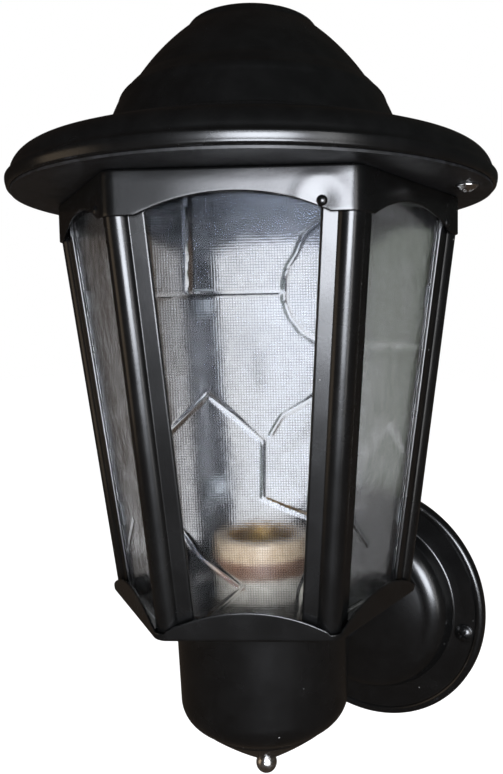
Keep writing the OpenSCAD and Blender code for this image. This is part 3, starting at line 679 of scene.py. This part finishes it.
def finish(name):
    """The named finish, made once."""
    if name not in _finishes:
        paint, glass = sizes_of("paint", "glass")
        makers = {
            "black_paint": (painted, paint),
            "black_fixings": (painted, paint, 0.06),
            "dull_black": (painted, paint, 0.08, 0.22),
            "nickel": (plated, paint.nickel, 0.20),
            "zinc_steel": (plated, paint.zinc, 0.38, 0.02, 0.5),
            "brass": (plated, paint.brass, 0.28, 0.02, 0.5),
            "porcelain": (moulded, (0.27, 0.25, 0.21), 0.24, 0.3),
            "cream_porcelain": (moulded, (0.25, 0.19, 0.125), 0.28, 0.2),
            "brown_band": (moulded, (0.085, 0.045, 0.026), 0.40, 0.1, 0.25),
            "white_plastic": (moulded, (0.70, 0.69, 0.64), 0.42),
            "brown_insulation": (moulded, (0.17, 0.07, 0.03), 0.38),
            "blue_insulation": (moulded, (0.04, 0.11, 0.36), 0.38),
            "glass_outside": (clear_glass, glass, False),
            "figured_glass": (clear_glass, glass, True),
        }
        maker, *how = makers[name]
        _finishes[name] = maker(name.replace("_", " "), *how)
    return _finishes[name]


def refinish(slot, *nodes, look=None):
    """Gives nodes of the solid model their finish, which is that of the slot unless another look is named."""
    for node in nodes:
        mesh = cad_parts[node].data
        mesh.materials.clear()
        mesh.materials.append(finish(look or slot))


# Roof

def roof_line(roof, roof_z):
    """Outer line of the roof, from the apex out to the end of the rolled edge."""
    top = roof_z + roof.roof_h
    apex, crown_flat = point(0, top), point(3, top)
    crown_edge, cap_top, cap_base = point(19, top - 3.3), point(23.3, top - 5.1), point(24.7, top - 7.2)
    neck_ring, shoulder_top = point(43.6, roof_z + 40.5), point(47.4, roof_z + 36.7)
    shoulder_low = point(50.2, roof_z + 32.5)
    dome_foot = point(roof.dome_r - 0.5, roof_z + roof.dome_base_h + 1.1)
    brim_top = point(roof.dome_r + 1.1, roof_z + roof.dome_base_h - 0.3)
    brim_edge = point(roof.brim_r - 6.6, roof_z + 12.1)
    skirt_top, rim_neck = point(roof.brim_r - 1.7, roof_z + 5.5), point(roof.brim_r - 0.85, roof_z + 4.4)
    rim_top, rim_low = point(roof.brim_r - 0.12, roof_z + 3.4), point(roof.brim_r - 0.42, roof_z + 1.15)
    roll = point(rim_low.x - 1.1, rim_low.y)
    return (
        [apex, crown_flat]
        + bow(crown_flat, crown_edge, 0.7, 12)
        + bow(crown_edge, cap_top, 0.35, 8)
        + bow(cap_top, cap_base, 0.12, 4)
        + bow(cap_base, neck_ring, 1.1, 26)
        + bow(neck_ring, shoulder_top, 0.15, 4)
        + bow(shoulder_top, shoulder_low, 0.5, 8)
        + bow(shoulder_low, dome_foot, 0.12, 12)
        + bow(dome_foot, brim_top, -0.35, 8)
        + bow(brim_top, brim_edge, 0.35, 16)
        + bow(brim_edge, skirt_top, 0.95, 14)
        + bow(skirt_top, rim_neck, -0.12, 5)
        + bow(rim_neck, rim_top, 0.22, 6)
        + bow(rim_top, rim_low, 0.12, 8)
        + turn(roll, 1.1, -12, -100, 10)
        + [roll - point(roof.rim_bead, 0.75)]
    )


class LANTERN_OT_roof(bpy.types.Operator):
    """Spins the roof from one sheet: cap, dome, brim and rolled edge."""
    bl_idname = "lantern.roof"
    bl_label = "Roof"

    def execute(self, context):
        roof, body, paint = sizes_of("roof", "body", "paint")
        sheet = spun(roof_line(roof, level("roof_plate", True)), paint, 220)
        new_piece("roof_shell", sheet, "black_paint", ["roof", "roof_crown"], on_axis(body))
        refinish("black_paint", "roof_tabs", "roof_plate", look="dull_black")
        refinish("zinc_steel", "plate_rivets")
        return {"FINISHED"}


# Collars

def round_the_six_sides(flat, corner, step=0.8, corner_steps=8):
    """Places round a six-sided outline with rounded corners: point, outward direction and distance
    from its side's middle."""
    places = []
    reach = (flat - corner) * math.tan(HALF_SIDE)
    count = round(2 * reach / step)
    for side in SIDES:
        facing = math.radians(-90 + 60 * (side - 1))
        out = toward(facing)
        across = out.orthogonal()
        for i in range(count + 1):
            u = -reach + 2 * reach * i / count
            places.append((out * flat + across * u, out, u))
        centre = ((flat - corner) / math.cos(HALF_SIDE)) * toward(facing + HALF_SIDE)
        for i in range(1, corner_steps):
            out_here = toward(facing + math.pi / 3 * i / corner_steps)
            places.append((centre + corner * out_here, out_here, None))
    return places


def six_sided_pan(flat, corner, hole_r, plate_z, way, edge_at, sheet, dent):
    """Sheet pan with a rounded six-sided rim: edge_at gives the rim's height off the plate, and dent
    how far the sheet is pressed in."""
    rings = []
    half, bend, rows = sheet / 2, 1.1, 16
    for place, out, u in round_the_six_sides(flat, corner):
        top = edge_at(u)
        hole = place.normalized()
        ring = []

        def wall(inset, h):
            p = place - out * (inset + dent(u, h))
            ring.append((p.x, p.y, plate_z + way * h))

        def plate(p, h):
            ring.append((p.x, p.y, plate_z + way * h))

        for i in range(rows + 1):
            wall(0, bend + (top - half - bend) * i / rows)
        for p in turn(point(half, top - half), half, 150, 30, 4):
            wall(p.x, p.y)
        for i in range(rows, -1, -1):
            wall(sheet, bend + (top - half - bend) * i / rows)
        wall(sheet + 0.1, sheet + 0.1)
        inner, rim = place - out * (bend + 0.3), hole * (hole_r + half)
        for t in (0, 0.5, 1):
            plate(inner.lerp(rim, t), sheet)
        for p in turn(point(0, half), half, 60, -60, 4):
            plate(rim - hole * p.x, p.y)
        for t in (1, 0.5, 0):
            plate(inner.lerp(rim, t), 0)
        for p in turn(point(bend, bend), bend, 265, 185, 5):
            wall(p.x, p.y)
        rings.append(ring)
    return rings_between(rings, closed=True)


def pressed_in(waviness, lean=0.0, lean_from=0.0, rivet_u=0.0, rivet_h=0.0, depth=0.0):
    """How far the sheet of a side is pressed in: slow waves of hand folding, a lean outward above
    a level, and a dent round a rivet."""
    def dent(u, h):
        leaning = lean * (lean_from - h)
        if u is None:
            return leaning
        away = math.hypot(u - rivet_u, h - rivet_h)
        dish = depth * math.exp(-(away / 3.2) ** 2)
        ring = -0.35 * depth * math.exp(-((away - 7) / 2.4) ** 2)
        waves = waviness * math.sin(u / 6.1 + 0.6) * math.cos(u / 41)
        return leaning + min(h / 3, 1) * (dish + ring + waves)
    return dent


class LANTERN_OT_collars(bpy.types.Operator):
    """Folds the two six-sided collars with their arched edges, and sets their rivets."""
    bl_idname = "lantern.collars"
    bl_label = "Collars"

    def execute(self, context):
        body, paint = sizes_of("body", "paint")
        lamp_opening_r, holder_opening_r = 52, 20
        rivet_u, rivet_z = 27, 3.2
        over_arch, beside_arch = 0.7, 1.7
        upper_r = arch_radius(body.collar_arch_w, body.collar_arch)
        arch_top = body.collar_h - over_arch - body.collar_arch
        lower_r = arch_radius(body.tray_flat * math.tan(HALF_SIDE) - beside_arch, body.tray_arch)
        tray_top = body.tray_corner_h + body.tray_arch

        def upper_edge(u):
            if u is None or abs(u) >= upper_r:
                return body.collar_h
            return min(body.collar_h, arch_top + upper_r - math.sqrt(upper_r ** 2 - u ** 2))

        def lower_edge(u):
            if u is None:
                return body.tray_corner_h
            return max(body.tray_corner_h, tray_top - lower_r + math.sqrt(lower_r ** 2 - u ** 2))

        rivet_h = body.collar_h - rivet_z
        round_rivet = pressed_in(waviness=0.05, rivet_u=rivet_u, rivet_h=rivet_h, depth=0.35)
        leaning = pressed_in(waviness=0.035, lean=0.09, lean_from=body.tray_corner_h)
        upper = six_sided_pan(body.collar_flat, body.corner_r, lamp_opening_r, body.collar_z + body.collar_h,
                              -1, upper_edge, paint.sheet, round_rivet)
        lower = six_sided_pan(body.tray_flat, body.corner_r, holder_opening_r, body.tray_z,
                              1, lower_edge, paint.sheet, leaning)
        place = on_body(body)
        new_piece("upper_collar_shell", upper, "black_paint", ["upper_collar"], place)
        new_piece("lower_collar_shell", lower, "black_paint", ["lower_collar"], place)
        spot = moved(rivet_u, -body.collar_flat + 0.3, body.collar_z + rivet_z) @ turned(90, "X")
        head = rivet_head(radius=1.75, height=0.85)
        heads = [placed(turned(60 * (side - 1), "Z") @ spot, head) for side in SIDES]
        new_piece("collar_rivet_heads", joined(*heads), "black_fixings", ["collar_rivets"], place)
        refinish("black_fixings", "foot_rivets")
        return {"FINISHED"}


# Corner posts

def on_flange(lean, points, side):
    """Points of a flange, given as depth and distance along it, on one side of the bead."""
    made = [lean.out * depth + lean.across * along for depth, along in points]
    return [point(p.x, p.y * side) for p in made]


def post_section(body, lean, sheet):
    """Section of a corner post: a round bead between two flanges with folded hems."""
    end = body.flange_reach - lean.bead_shift
    deep, fold_r, hem_end = lean.bead_depth, sheet, end - body.hem
    hollow = body.bead_hollow
    bend = math.acos((deep + hollow) / (body.bead_r + hollow))
    start = (body.bead_r + hollow) * math.sin(bend)
    open_at = math.degrees(lean.flange_side + bend)
    inner_r = body.bead_r - sheet
    inner_start = math.sqrt(inner_r ** 2 - (deep - sheet) ** 2)
    inner_open = math.degrees(lean.flange_side + math.acos((deep - sheet) / inner_r))

    bends = [bend * (1 - i / 8) for i in range(1, 9)]
    line = [(deep + hollow * (1 - math.cos(a)), start - hollow * math.sin(a)) for a in bends]
    line += [(deep, start + 0.25), (deep, end - fold_r - 0.25), (deep, end - fold_r)]
    line += [(p.x, p.y) for p in turn(point(deep - fold_r, end - fold_r), fold_r, 15, 165, 6)]
    line += [(deep - 2 * sheet, end - fold_r), (deep - 2 * sheet, hem_end + 0.3),
             (deep - 2 * sheet + 0.2, hem_end), (deep - sheet, hem_end), (deep - sheet, inner_start + 0.1)]
    bead_outside = turn(point(0, 0), body.bead_r, -open_at, open_at, 40)
    bead_inside = turn(point(0, 0), inner_r, inner_open - 1, -inner_open + 1, 28)
    return bead_outside + on_flange(lean, line, 1) + bead_inside + on_flange(lean, line, -1)[::-1]


def flange_strip(body, lean, sheet, side):
    """Section of the flange behind the collar, where the bead has ended."""
    end = body.flange_reach - lean.bead_shift
    deep, hem_end = lean.bead_depth, end - body.hem
    into_bead = 0.4
    start = math.sqrt(body.bead_r ** 2 - deep ** 2) - into_bead
    corners = [(deep, start), (deep, end), (deep - 2 * sheet, end), (deep - 2 * sheet, hem_end),
               (deep - sheet, hem_end), (deep - sheet, start)]
    return rounded(on_flange(lean, corners, side), 0.25)


def along_post(section, body, lean, low, high, levels):
    """Skin over a post's section between two levels, with both ends cut level."""
    rings = []
    for j in range(levels + 1):
        up = low + (high - low) * j / levels - body.collar_z
        rings.append([(p.x, p.y, (up + p.x * math.sin(lean.post)) / math.cos(lean.post)) for p in section])
    return rings_between(rings)


class LANTERN_OT_posts(bpy.types.Operator):
    """Draws the six corner posts, each with its foot on the lower collar and its tab on the upper one."""
    bl_idname = "lantern.posts"
    bl_label = "Corner posts"

    def execute(self, context):
        body, paint = sizes_of("body", "paint")
        lean = slants(body)
        sheet = paint.sheet
        tray_top, bead_end = body.tray_z + sheet, body.collar_z + 1.5
        tab_top = body.collar_z + body.collar_h - sheet - 0.2
        upright = [along_post(post_section(body, lean, sheet), body, lean, tray_top, bead_end, 24)]
        for side in (1, -1):
            strip = flange_strip(body, lean, sheet, side)
            upright.append(along_post(strip, body, lean, bead_end - 0.1, tab_top, 2))
        upright = joined(*upright)

        foot_at, foot_r, neck = 12, 4.5, 1.2
        open_angle = math.degrees(math.asin(neck / foot_r))
        outline = turn(point(-foot_at, 0), foot_r, open_angle, 360 - open_angle, 30)
        outline += [point(body.bead_r - 0.4, -neck), point(body.bead_r - 0.4, neck)]
        foot = slab(outline, tray_top, tray_top + sheet)
        tab_start, tab_end = 25, 33
        outline = [point(tab_start, 0), point(tab_end, 0), point(tab_end, sheet), point(tab_start, sheet)]
        tab = slab(outline, body.collar_z + 2, tab_top)
        for k in SIDES:
            at_foot = on_body(body, k - 2) @ moved(body.frame_low_r - body.bead_inset, 0, 0)
            at_tab = on_body(body, k - 1) @ moved(0, -body.collar_flat + sheet, 0)
            parts = placed(at_corner(body, lean, k), upright), placed(at_foot, foot), placed(at_tab, tab)
            new_piece(f"corner_post_{k}", joined(*parts), "black_paint", [f"post_{k}"])
        refinish("zinc_steel", "glass_clips")
        return {"FINISHED"}


# Glass

# Ribs of the figured glass, as lines across (x) and up (y) from the lower edge of the upper collar
RIBS = [
    [(-14.2, 9), (-14.2, 3.3), (-14.6, -10), (-15.2, -22.7)],
    [(-36, -25.2), (-31, -24.9), (-15.3, -24), (13.6, -23.7)],
    [(30, -0.5), (25.6, -2.6), (21, -6.6), (18.5, -12.2), (15.9, -16), (14.9, -19.6),
     (14.5, -25.7), (15.3, -28.8), (16.5, -31.8), (19.5, -35.9), (24.1, -39.1), (31, -42)],
    [(-32, -75), (-24.6, -68.9), (-10.5, -55.7), (-1.8, -63.2), (6.6, -71.4),
     (6, -90.4), (13.4, -93.8), (22.1, -97.2), (27, -99)],
    [(28, -52), (23.1, -57), (13, -63), (9.2, -69.2)],
    [(-27, -92), (-22, -99.9), (-15.2, -110.3), (-3.3, -120.8)],
    [(-1.3, -121.5), (-14.6, -133.4), (-18, -137)],
    [(26, -104), (22.1, -112), (17.6, -122.5), (16, -134)],
]
# For each pane: its ribs, how far they are moved up, and how much of its weave is smoothed away
PANE_RIBS = (RIBS, RIBS[5:6], RIBS, RIBS, RIBS, RIBS[6:7])
PANE_SHIFTS = (0, 8, -19, 27, -33, 17)
PANE_PLAIN = (0.2, 0.8, 0.4, 0.4, 0.4, 0.8)


def distance_to_lines(x, y, lines, shift):
    """Distance of each point of a net to the nearest of the lines."""
    best = np.full(x.shape, 1e9)
    for line in lines:
        for (ax, ay), (bx, by) in zip(line, line[1:]):
            ay, by = ay + shift, by + shift
            dx, dy = bx - ax, by - ay
            t = np.clip(((x - ax) * dx + (y - ay) * dy) / (dx * dx + dy * dy), 0, 1)
            best = np.minimum(best, np.hypot(x - ax - t * dx, y - ay - t * dy))
    return best


class LANTERN_OT_panes(bpy.types.Operator):
    """Presses the six glass panes: smooth outside, ribbed and woven inside."""
    bl_idname = "lantern.panes"
    bl_label = "Glass panes"

    def execute(self, context):
        body, glass, paint = sizes_of("body", "glass", "paint")
        lean = slants(body)
        columns, rows, side_gap, top_gap = 104, 230, 3, 0.8
        front = -2 * paint.sheet
        back = front - glass.thickness
        low_z = body.tray_z + paint.sheet
        high_z = body.collar_z + body.collar_h - paint.sheet - top_gap

        def net(depth):
            """Points across and up one face of the slanting pane, cut level at both ends."""
            low, high = [(z - body.collar_z + depth * math.sin(lean.face)) / math.cos(lean.face)
                         for z in (low_z, high_z)]
            y = np.linspace(low, high, rows + 1)[:, None]
            half = (body.frame_top_r + lean.slope * y * math.cos(lean.face)) / 2 - lean.bead_shift - side_gap
            return np.linspace(-1, 1, columns + 1)[None, :] * half, y + np.zeros((1, columns + 1)), half

        x0, y0, _ = net(front)
        x1, y1, half = net(back)
        from_edge = np.minimum(half - np.abs(x1), np.minimum(y1 - y1[0, 0], y1[-1, 0] - y1))
        plain_edge, full_relief = 3.5, 5.5
        seated = 1 - soft_step(plain_edge, full_relief, from_edge)
        rim = ([(0, i) for i in range(columns + 1)] + [(j, columns) for j in range(1, rows + 1)]
               + [(rows, i) for i in range(columns - 1, -1, -1)] + [(j, 0) for j in range(rows - 1, 0, -1)])
        outer = [(x0[j, i], y0[j, i], front) for j, i in rim]
        spot = np.arange(x1.size).reshape(x1.shape)
        cells = np.dstack((spot[:-1, :-1], spot[:-1, 1:], spot[1:, 1:], spot[1:, :-1]))
        faces = cells.reshape(-1, 4).tolist()
        edge, start, total = [int(spot[j, i]) for j, i in rim], x1.size, len(rim)
        faces += [(edge[i], edge[(i + 1) % total], start + (i + 1) % total, start + i) for i in range(total)]
        faces.append(tuple(range(start, start + total)))
        for k, lines, shift, plain in zip(SIDES, PANE_RIBS, PANE_SHIFTS, PANE_PLAIN):
            away = distance_to_lines(x1, y1, lines, shift)
            rib = 1 - soft_step(0.15, glass.rib_width / 2, away)
            z1 = back + glass.rib_relief * (1 - np.maximum(rib, seated))
            verts = np.dstack((x1, y1, z1)).reshape(-1, 3).tolist() + outer
            pane = new_piece(f"glass_pane_{k}", (verts, faces), "figured_glass", [f"pane_{k}"],
                             at_face(body, lean, k))
            pane.visible_shadow = False
            mesh = pane.data
            mesh.materials.append(finish("glass_outside"))
            mesh.polygons[-1].material_index = 1
            uv = mesh.uv_layers.new(name="UVMap")
            for corner in mesh.loops:
                x, y, _ = verts[corner.vertex_index]
                uv.data[corner.index].uv = (x * MM, y * MM)
            smooth_part = 1 - soft_step(glass.rib_width * 0.35, glass.rib_width * 0.6, away)
            smooth_part = np.append(np.maximum(smooth_part, plain), np.ones(len(outer)))
            marks = mesh.attributes.new("rib", "FLOAT", "POINT")
            marks.data.foreach_set("value", smooth_part.astype(np.float32))
        return {"FINISHED"}


class LANTERN_OT_lampholder(bpy.types.Operator):
    """Finishes the lampholder, its bracket and the wires inside."""
    bl_idname = "lantern.lampholder"
    bl_label = "Lampholder"

    def execute(self, context):
        refinish("porcelain", "holder_body")
        refinish("brown_band", "holder_band")
        refinish("cream_porcelain", "holder_ring")
        refinish("brass", "screw_shell", "centre_contact")
        refinish("zinc_steel", "holder_bracket", "centre_rod", "rod_nut")
        refinish("zinc_steel", "arm_nipple", "arm_saddle", "arm_nuts")
        refinish("nickel", "bracket_screws", "holder_screws")
        refinish("brown_insulation", "live_wire")
        refinish("blue_insulation", "neutral_wire")
        return {"FINISHED"}


# Cup and ball nut

class LANTERN_OT_cup(bpy.types.Operator):
    """Spins the cup and turns the ball nut under it."""
    bl_idname = "lantern.cup"
    bl_label = "Cup"

    def execute(self, context):
        cup, body, paint = sizes_of("cup", "body", "paint")
        lip_r, lip_low, top = cup.top_r + 0.5, body.tray_z - 3.2, point(cup.top_r, body.tray_z - 4.2)
        shoulder, turn_in, foot = point(cup.low_r, -2), point(28.3, -11.4), point(24.8, -14.5)
        rod_hole_r = 2.8
        line = (
            [point(lip_r, body.tray_z), point(lip_r, lip_low)]
            + bow(point(lip_r, lip_low), top, 0.12, 4)
            + [top.lerp(shoulder, t / 6) for t in range(1, 7)]
            + bow(shoulder, turn_in, 1.4, 16)
            + bow(turn_in, point(25.4, -13.6), -0.12, 4)
            + bow(point(25.4, -13.6), foot, 0.1, 4)
            + bow(foot, point(6.5, -cup.drop), 0.3, 14)
            + [point(rod_hole_r, -cup.drop)]
        )
        new_piece("cup_shell", spun(line, paint, 180), "black_paint", ["cup"], on_axis(body))
        ball_z, neck_r = -cup.drop - 4.8, 3.6
        neck_angle = math.degrees(math.acos(neck_r / cup.ball_r))
        ball = ([point(0, -cup.drop), point(neck_r - 0.2, -cup.drop), point(neck_r, -cup.drop - 0.2)]
                + turn(point(0, ball_z), cup.ball_r, neck_angle, -90, 26) + [point(0, ball_z)])
        new_piece("ball_nut_turned", lathe(ball, 72), "nickel", ["ball_nut"], on_axis(body))
        return {"FINISHED"}


# Wall plate

class LANTERN_OT_wall_plate(bpy.types.Operator):
    """Spins the wall plate and finishes the arm and the crossbar behind the plate."""
    bl_idname = "lantern.wall_plate"
    bl_label = "Wall plate and arm"

    def execute(self, context):
        plate, paint = sizes_of("wall_plate", "paint")
        boss_r, boss_h, band = plate.boss_r, plate.boss_h, plate.band_h
        bead, bead_h = 2.35, 2.6
        bead_x = plate.plate_r - bead
        bead_start = 180 - math.degrees(math.asin((band - bead_h) / bead))
        brow, shoulder = point(boss_r - 11.3, boss_h - 3.4), point(boss_r - 1.5, boss_h - 11)
        foot, band_start = point(boss_r - 0.6, band + 1.2), point(boss_r + 0.7, band)
        crown = point(12, boss_h)
        line = (
            [point(5.3, boss_h), crown]
            + bow(crown, brow, 0.7, 12)
            + bow(brow, shoulder, 2.3, 18)
            + [shoulder.lerp(foot, t / 3) for t in (1, 2, 3)]
            + bow(foot, band_start, -0.3, 6)
            + [band_start.lerp(point(bead_x - bead, band), t) for t in (0.5, 0.95)]
            + turn(point(bead_x, bead_h), bead, bead_start, 0, 22)
            + [point(plate.plate_r, 0)]
        )
        new_piece("wall_plate_shell", spun(line, paint, 220), "black_paint", ["wall_plate"], at_plate(plate))
        refinish("black_paint", "arm_tube")
        refinish("zinc_steel", "crossbar")
        refinish("brass", "earth_screw", "terminal_sleeves")
        refinish("white_plastic", "terminal_block")
        refinish("nickel", "terminal_screws")
        return {"FINISHED"}


class LANTERN_OT_fixings(bpy.types.Operator):
    """Sets the cross-head screws of the wall plate and of the roof."""
    bl_idname = "lantern.fixings"
    bl_label = "Screws"

    def execute(self, context):
        plate, roof, body = sizes_of("wall_plate", "roof", "body")
        head = screw_head(radius=4.5, height=2.6, reach=2.45, width=0.95, depth=1.5)
        heads = []
        for side in (1, -1):
            spot = at_plate(plate) @ moved(side * plate.screw_r, 0, plate.band_h)
            heads.append(placed(spot @ turned(24 + 40 * side, "Z"), head))
        new_piece("plate_screw_heads", joined(*heads), "black_fixings", ["plate_screws"])

        head = screw_head(radius=4, height=2.5, reach=2.2, width=0.85, depth=1.4)
        shank_r, end = 1.85, 4.95
        shank = lathe([point(0, -0.1), point(shank_r, -0.1), point(shank_r, end - 0.35),
                       point(shank_r - 0.35, end), point(0, end)], 24)
        spots = [on_axis(body) @ turned(roof.screw_turn - 90 + a, "Z")
                 @ moved(roof.screw_r, 0, level("roof_plate", False)) for a in (0, 180)]
        heads = [placed(spot @ turned(180, "X") @ turned(15, "Z"), head) for spot in spots]
        shanks = [placed(spot, shank) for spot in spots]
        new_piece("roof_screw_heads", joined(*heads, *shanks), "nickel", ["roof_screws"])
        return {"FINISHED"}


# Stage

def softbox(name, place, target, width, height, power, tint=(1, 1, 1)):
    """A flat soft light that faces a point."""
    data = bpy.data.lights.new(name, "AREA")
    data.shape = "RECTANGLE"
    data.size, data.size_y = width, height
    data.energy = power
    data.color = tint
    lamp = in_scene(name, data)
    lamp.location = place
    lamp.rotation_euler = (target - Vector(place)).to_track_quat("-Z", "Y").to_euler()
    lamp.visible_camera = False


def screen(name, part, *tints, through_glass=False):
    """A glowing studio cloth or card that casts no shadow. It shows only in polished surfaces, or only
    through glass. Three tints are those of its left, its right and its part near the floor."""
    material = bpy.data.materials.new(name)
    tree = emptied(material)
    tone = (*tints[0], 1)
    if len(tints) == 3:
        left, right, low = [tuple(tint) for tint in tints]
        place = parts_of(tree, add(tree, "ShaderNodeTexCoord").outputs["Object"])
        tone = mixed(tree, ramp(tree, place[0], -0.9, 0.9), left, right)
        tone = mixed(tree, ramp(tree, place[2], -0.30, 0.3), low, tone)
    glow = add(tree, "ShaderNodeEmission", {"Color": tone})
    add(tree, "ShaderNodeOutputMaterial", {"Surface": glow.outputs[0]})
    cloth = in_scene(name, new_mesh(name, *part, material))
    cloth.visible_camera = cloth.visible_diffuse = cloth.visible_shadow = cloth.visible_volume_scatter = False
    cloth.visible_glossy, cloth.visible_transmission = not through_glass, through_glass


def standing_card(foot, heading, width, distance=1.2, low=-0.31, high=1.2):
    """Corners and face of an upright card behind the lantern, at a distance from the foot of its axis."""
    a = math.radians(heading)
    away, across = Vector((math.sin(a), math.cos(a), 0)), Vector((math.cos(a), -math.sin(a), 0))
    middle = foot + away * distance
    corners = [(-width / 2, low), (width / 2, low), (width / 2, high), (-width / 2, high)]
    return [tuple(middle + across * x + Vector((0, 0, z))) for x, z in corners], [(0, 1, 2, 3)]


def shown_background(tree):
    """1 for rays that look at the background or see it in metal or through glass."""
    path = add(tree, "ShaderNodeLightPath").outputs
    seen = maths(tree, "MAXIMUM", path["Is Camera Ray"], path["Is Glossy Ray"])
    return maths(tree, "MAXIMUM", seen, path["Is Transmission Ray"])


class LANTERN_OT_stage(bpy.types.Operator):
    """Lays the floor, sets the lights and the camera."""
    bl_idname = "lantern.stage"
    bl_label = "Stage"

    def execute(self, context):
        scene = context.scene
        stage = scene.lantern_stage
        reach, z = 6.0, stage.floor_level
        corners = [(-reach, -reach, z), (reach, -reach, z), (reach, reach, z), (-reach, reach, z)]
        material = bpy.data.materials.new("pale floor")
        floor = in_scene("floor", new_mesh("floor", corners, [(0, 1, 2, 3)], material))
        tree = emptied(material)
        pale = add(tree, "ShaderNodeBsdfDiffuse", {"Color": (0.82, 0.82, 0.82, 1)})
        strength = times(tree, shown_background(tree), 0.75)
        glow = add(tree, "ShaderNodeEmission", {"Color": (1, 1, 1, 1), "Strength": strength})
        both = add(tree, "ShaderNodeAddShader", enumerate((pale.outputs[0], glow.outputs[0])))
        add(tree, "ShaderNodeOutputMaterial", {"Surface": both.outputs[0]})

        world = scene.world = bpy.data.worlds.new("studio")
        tree = emptied(world)
        strength = plus(tree, times(tree, shown_background(tree), 1 - stage.fill), stage.fill)
        sky = add(tree, "ShaderNodeBackground", {"Color": (1, 1, 1, 1), "Strength": strength})
        add(tree, "ShaderNodeOutputWorld", {"Surface": sky.outputs[0]})

        room = lathe([point(0, -0.315), point(1.6, -0.315), point(1.6, 1.5), point(0, 1.8)], 48)
        screen("dark cloth", room, stage.left_cloth, stage.right_cloth, stage.low_cloth)
        foot = Vector((0, -scene.lantern_body.arm_reach, 0))
        screen("green card", standing_card(foot, -6.5, 0.76), stage.green_card, through_glass=True)
        screen("brown card", standing_card(foot, -64.5, 1.17), stage.brown_card, through_glass=True)
        middle, collar = foot + Vector((0, 0, 0.12)), foot + Vector((0, 0, 0.185))
        softbox("key light", (0.58, -1.00, collar.z), collar, 0.56, 0.54, stage.key, (0.88, 0.92, 1.0))
        softbox("strip light", (0.95, -0.62, 0.20), middle, 0.16, 0.9, stage.strip)
        softbox("warm light", (-0.85, -0.75, 0.05), middle, 0.5, 0.5, stage.warm, (1.0, 0.78, 0.55))

        place, heading, dip, roll = (0.1564, -0.3673, 0.1416), 28.14, 4.5, -0.86
        data = bpy.data.cameras.new("camera")
        data.sensor_width = 36
        data.lens = stage.lens
        data.shift_x, data.shift_y = -0.0652, 0.003
        camera = in_scene("camera", data)
        camera.matrix_world = moved(*place) @ turned(heading, "Z") @ turned(90 - dip, "X") @ turned(roll, "Z")
        scene.camera = camera
        scene.view_settings.view_transform = "Standard"
        return {"FINISHED"}


class LANTERN_PT_panel(bpy.types.Panel):
    """Buttons that make the pieces, and their sizes."""
    bl_idname = "LANTERN_PT_panel"
    bl_label = "Wall lantern"
    bl_space_type = "VIEW_3D"
    bl_region_type = "UI"
    bl_category = "Lantern"

    def draw(self, context):
        for operator in OPERATORS:
            self.layout.operator(operator.bl_idname)
        for key in GROUPS:
            group = getattr(context.scene, key)
            box = self.layout.box()
            box.label(text=group.bl_rna.description)
            for prop in group.bl_rna.properties:
                if prop.identifier not in ("rna_type", "name"):
                    box.prop(group, prop.identifier)


GROUPS = {
    "lantern_paint": LanternPaint,
    "lantern_roof": LanternRoof,
    "lantern_body": LanternBody,
    "lantern_glass": LanternGlass,
    "lantern_cup": LanternCup,
    "lantern_wall_plate": LanternWallPlate,
    "lantern_stage": LanternStage,
}
OPERATORS = (LANTERN_OT_roof, LANTERN_OT_collars, LANTERN_OT_posts, LANTERN_OT_panes, LANTERN_OT_lampholder,
             LANTERN_OT_cup, LANTERN_OT_wall_plate, LANTERN_OT_fixings, LANTERN_OT_stage)


def register():
    for key, group in GROUPS.items():
        bpy.utils.register_class(group)
        setattr(bpy.types.Scene, key, PointerProperty(type=group))
    for operator in OPERATORS:
        bpy.utils.register_class(operator)
    bpy.utils.register_class(LANTERN_PT_panel)


def unregister():
    bpy.utils.unregister_class(LANTERN_PT_panel)
    for operator in reversed(OPERATORS):
        bpy.utils.unregister_class(operator)
    for key, group in GROUPS.items():
        delattr(bpy.types.Scene, key)
        bpy.utils.unregister_class(group)


def main():
    register()
    bpy.ops.lantern.roof()
    bpy.ops.lantern.collars()
    bpy.ops.lantern.posts()
    bpy.ops.lantern.panes()
    bpy.ops.lantern.lampholder()
    bpy.ops.lantern.cup()
    bpy.ops.lantern.wall_plate()
    bpy.ops.lantern.fixings()
    bpy.ops.lantern.stage()


if __name__ == "__main__":
    main()
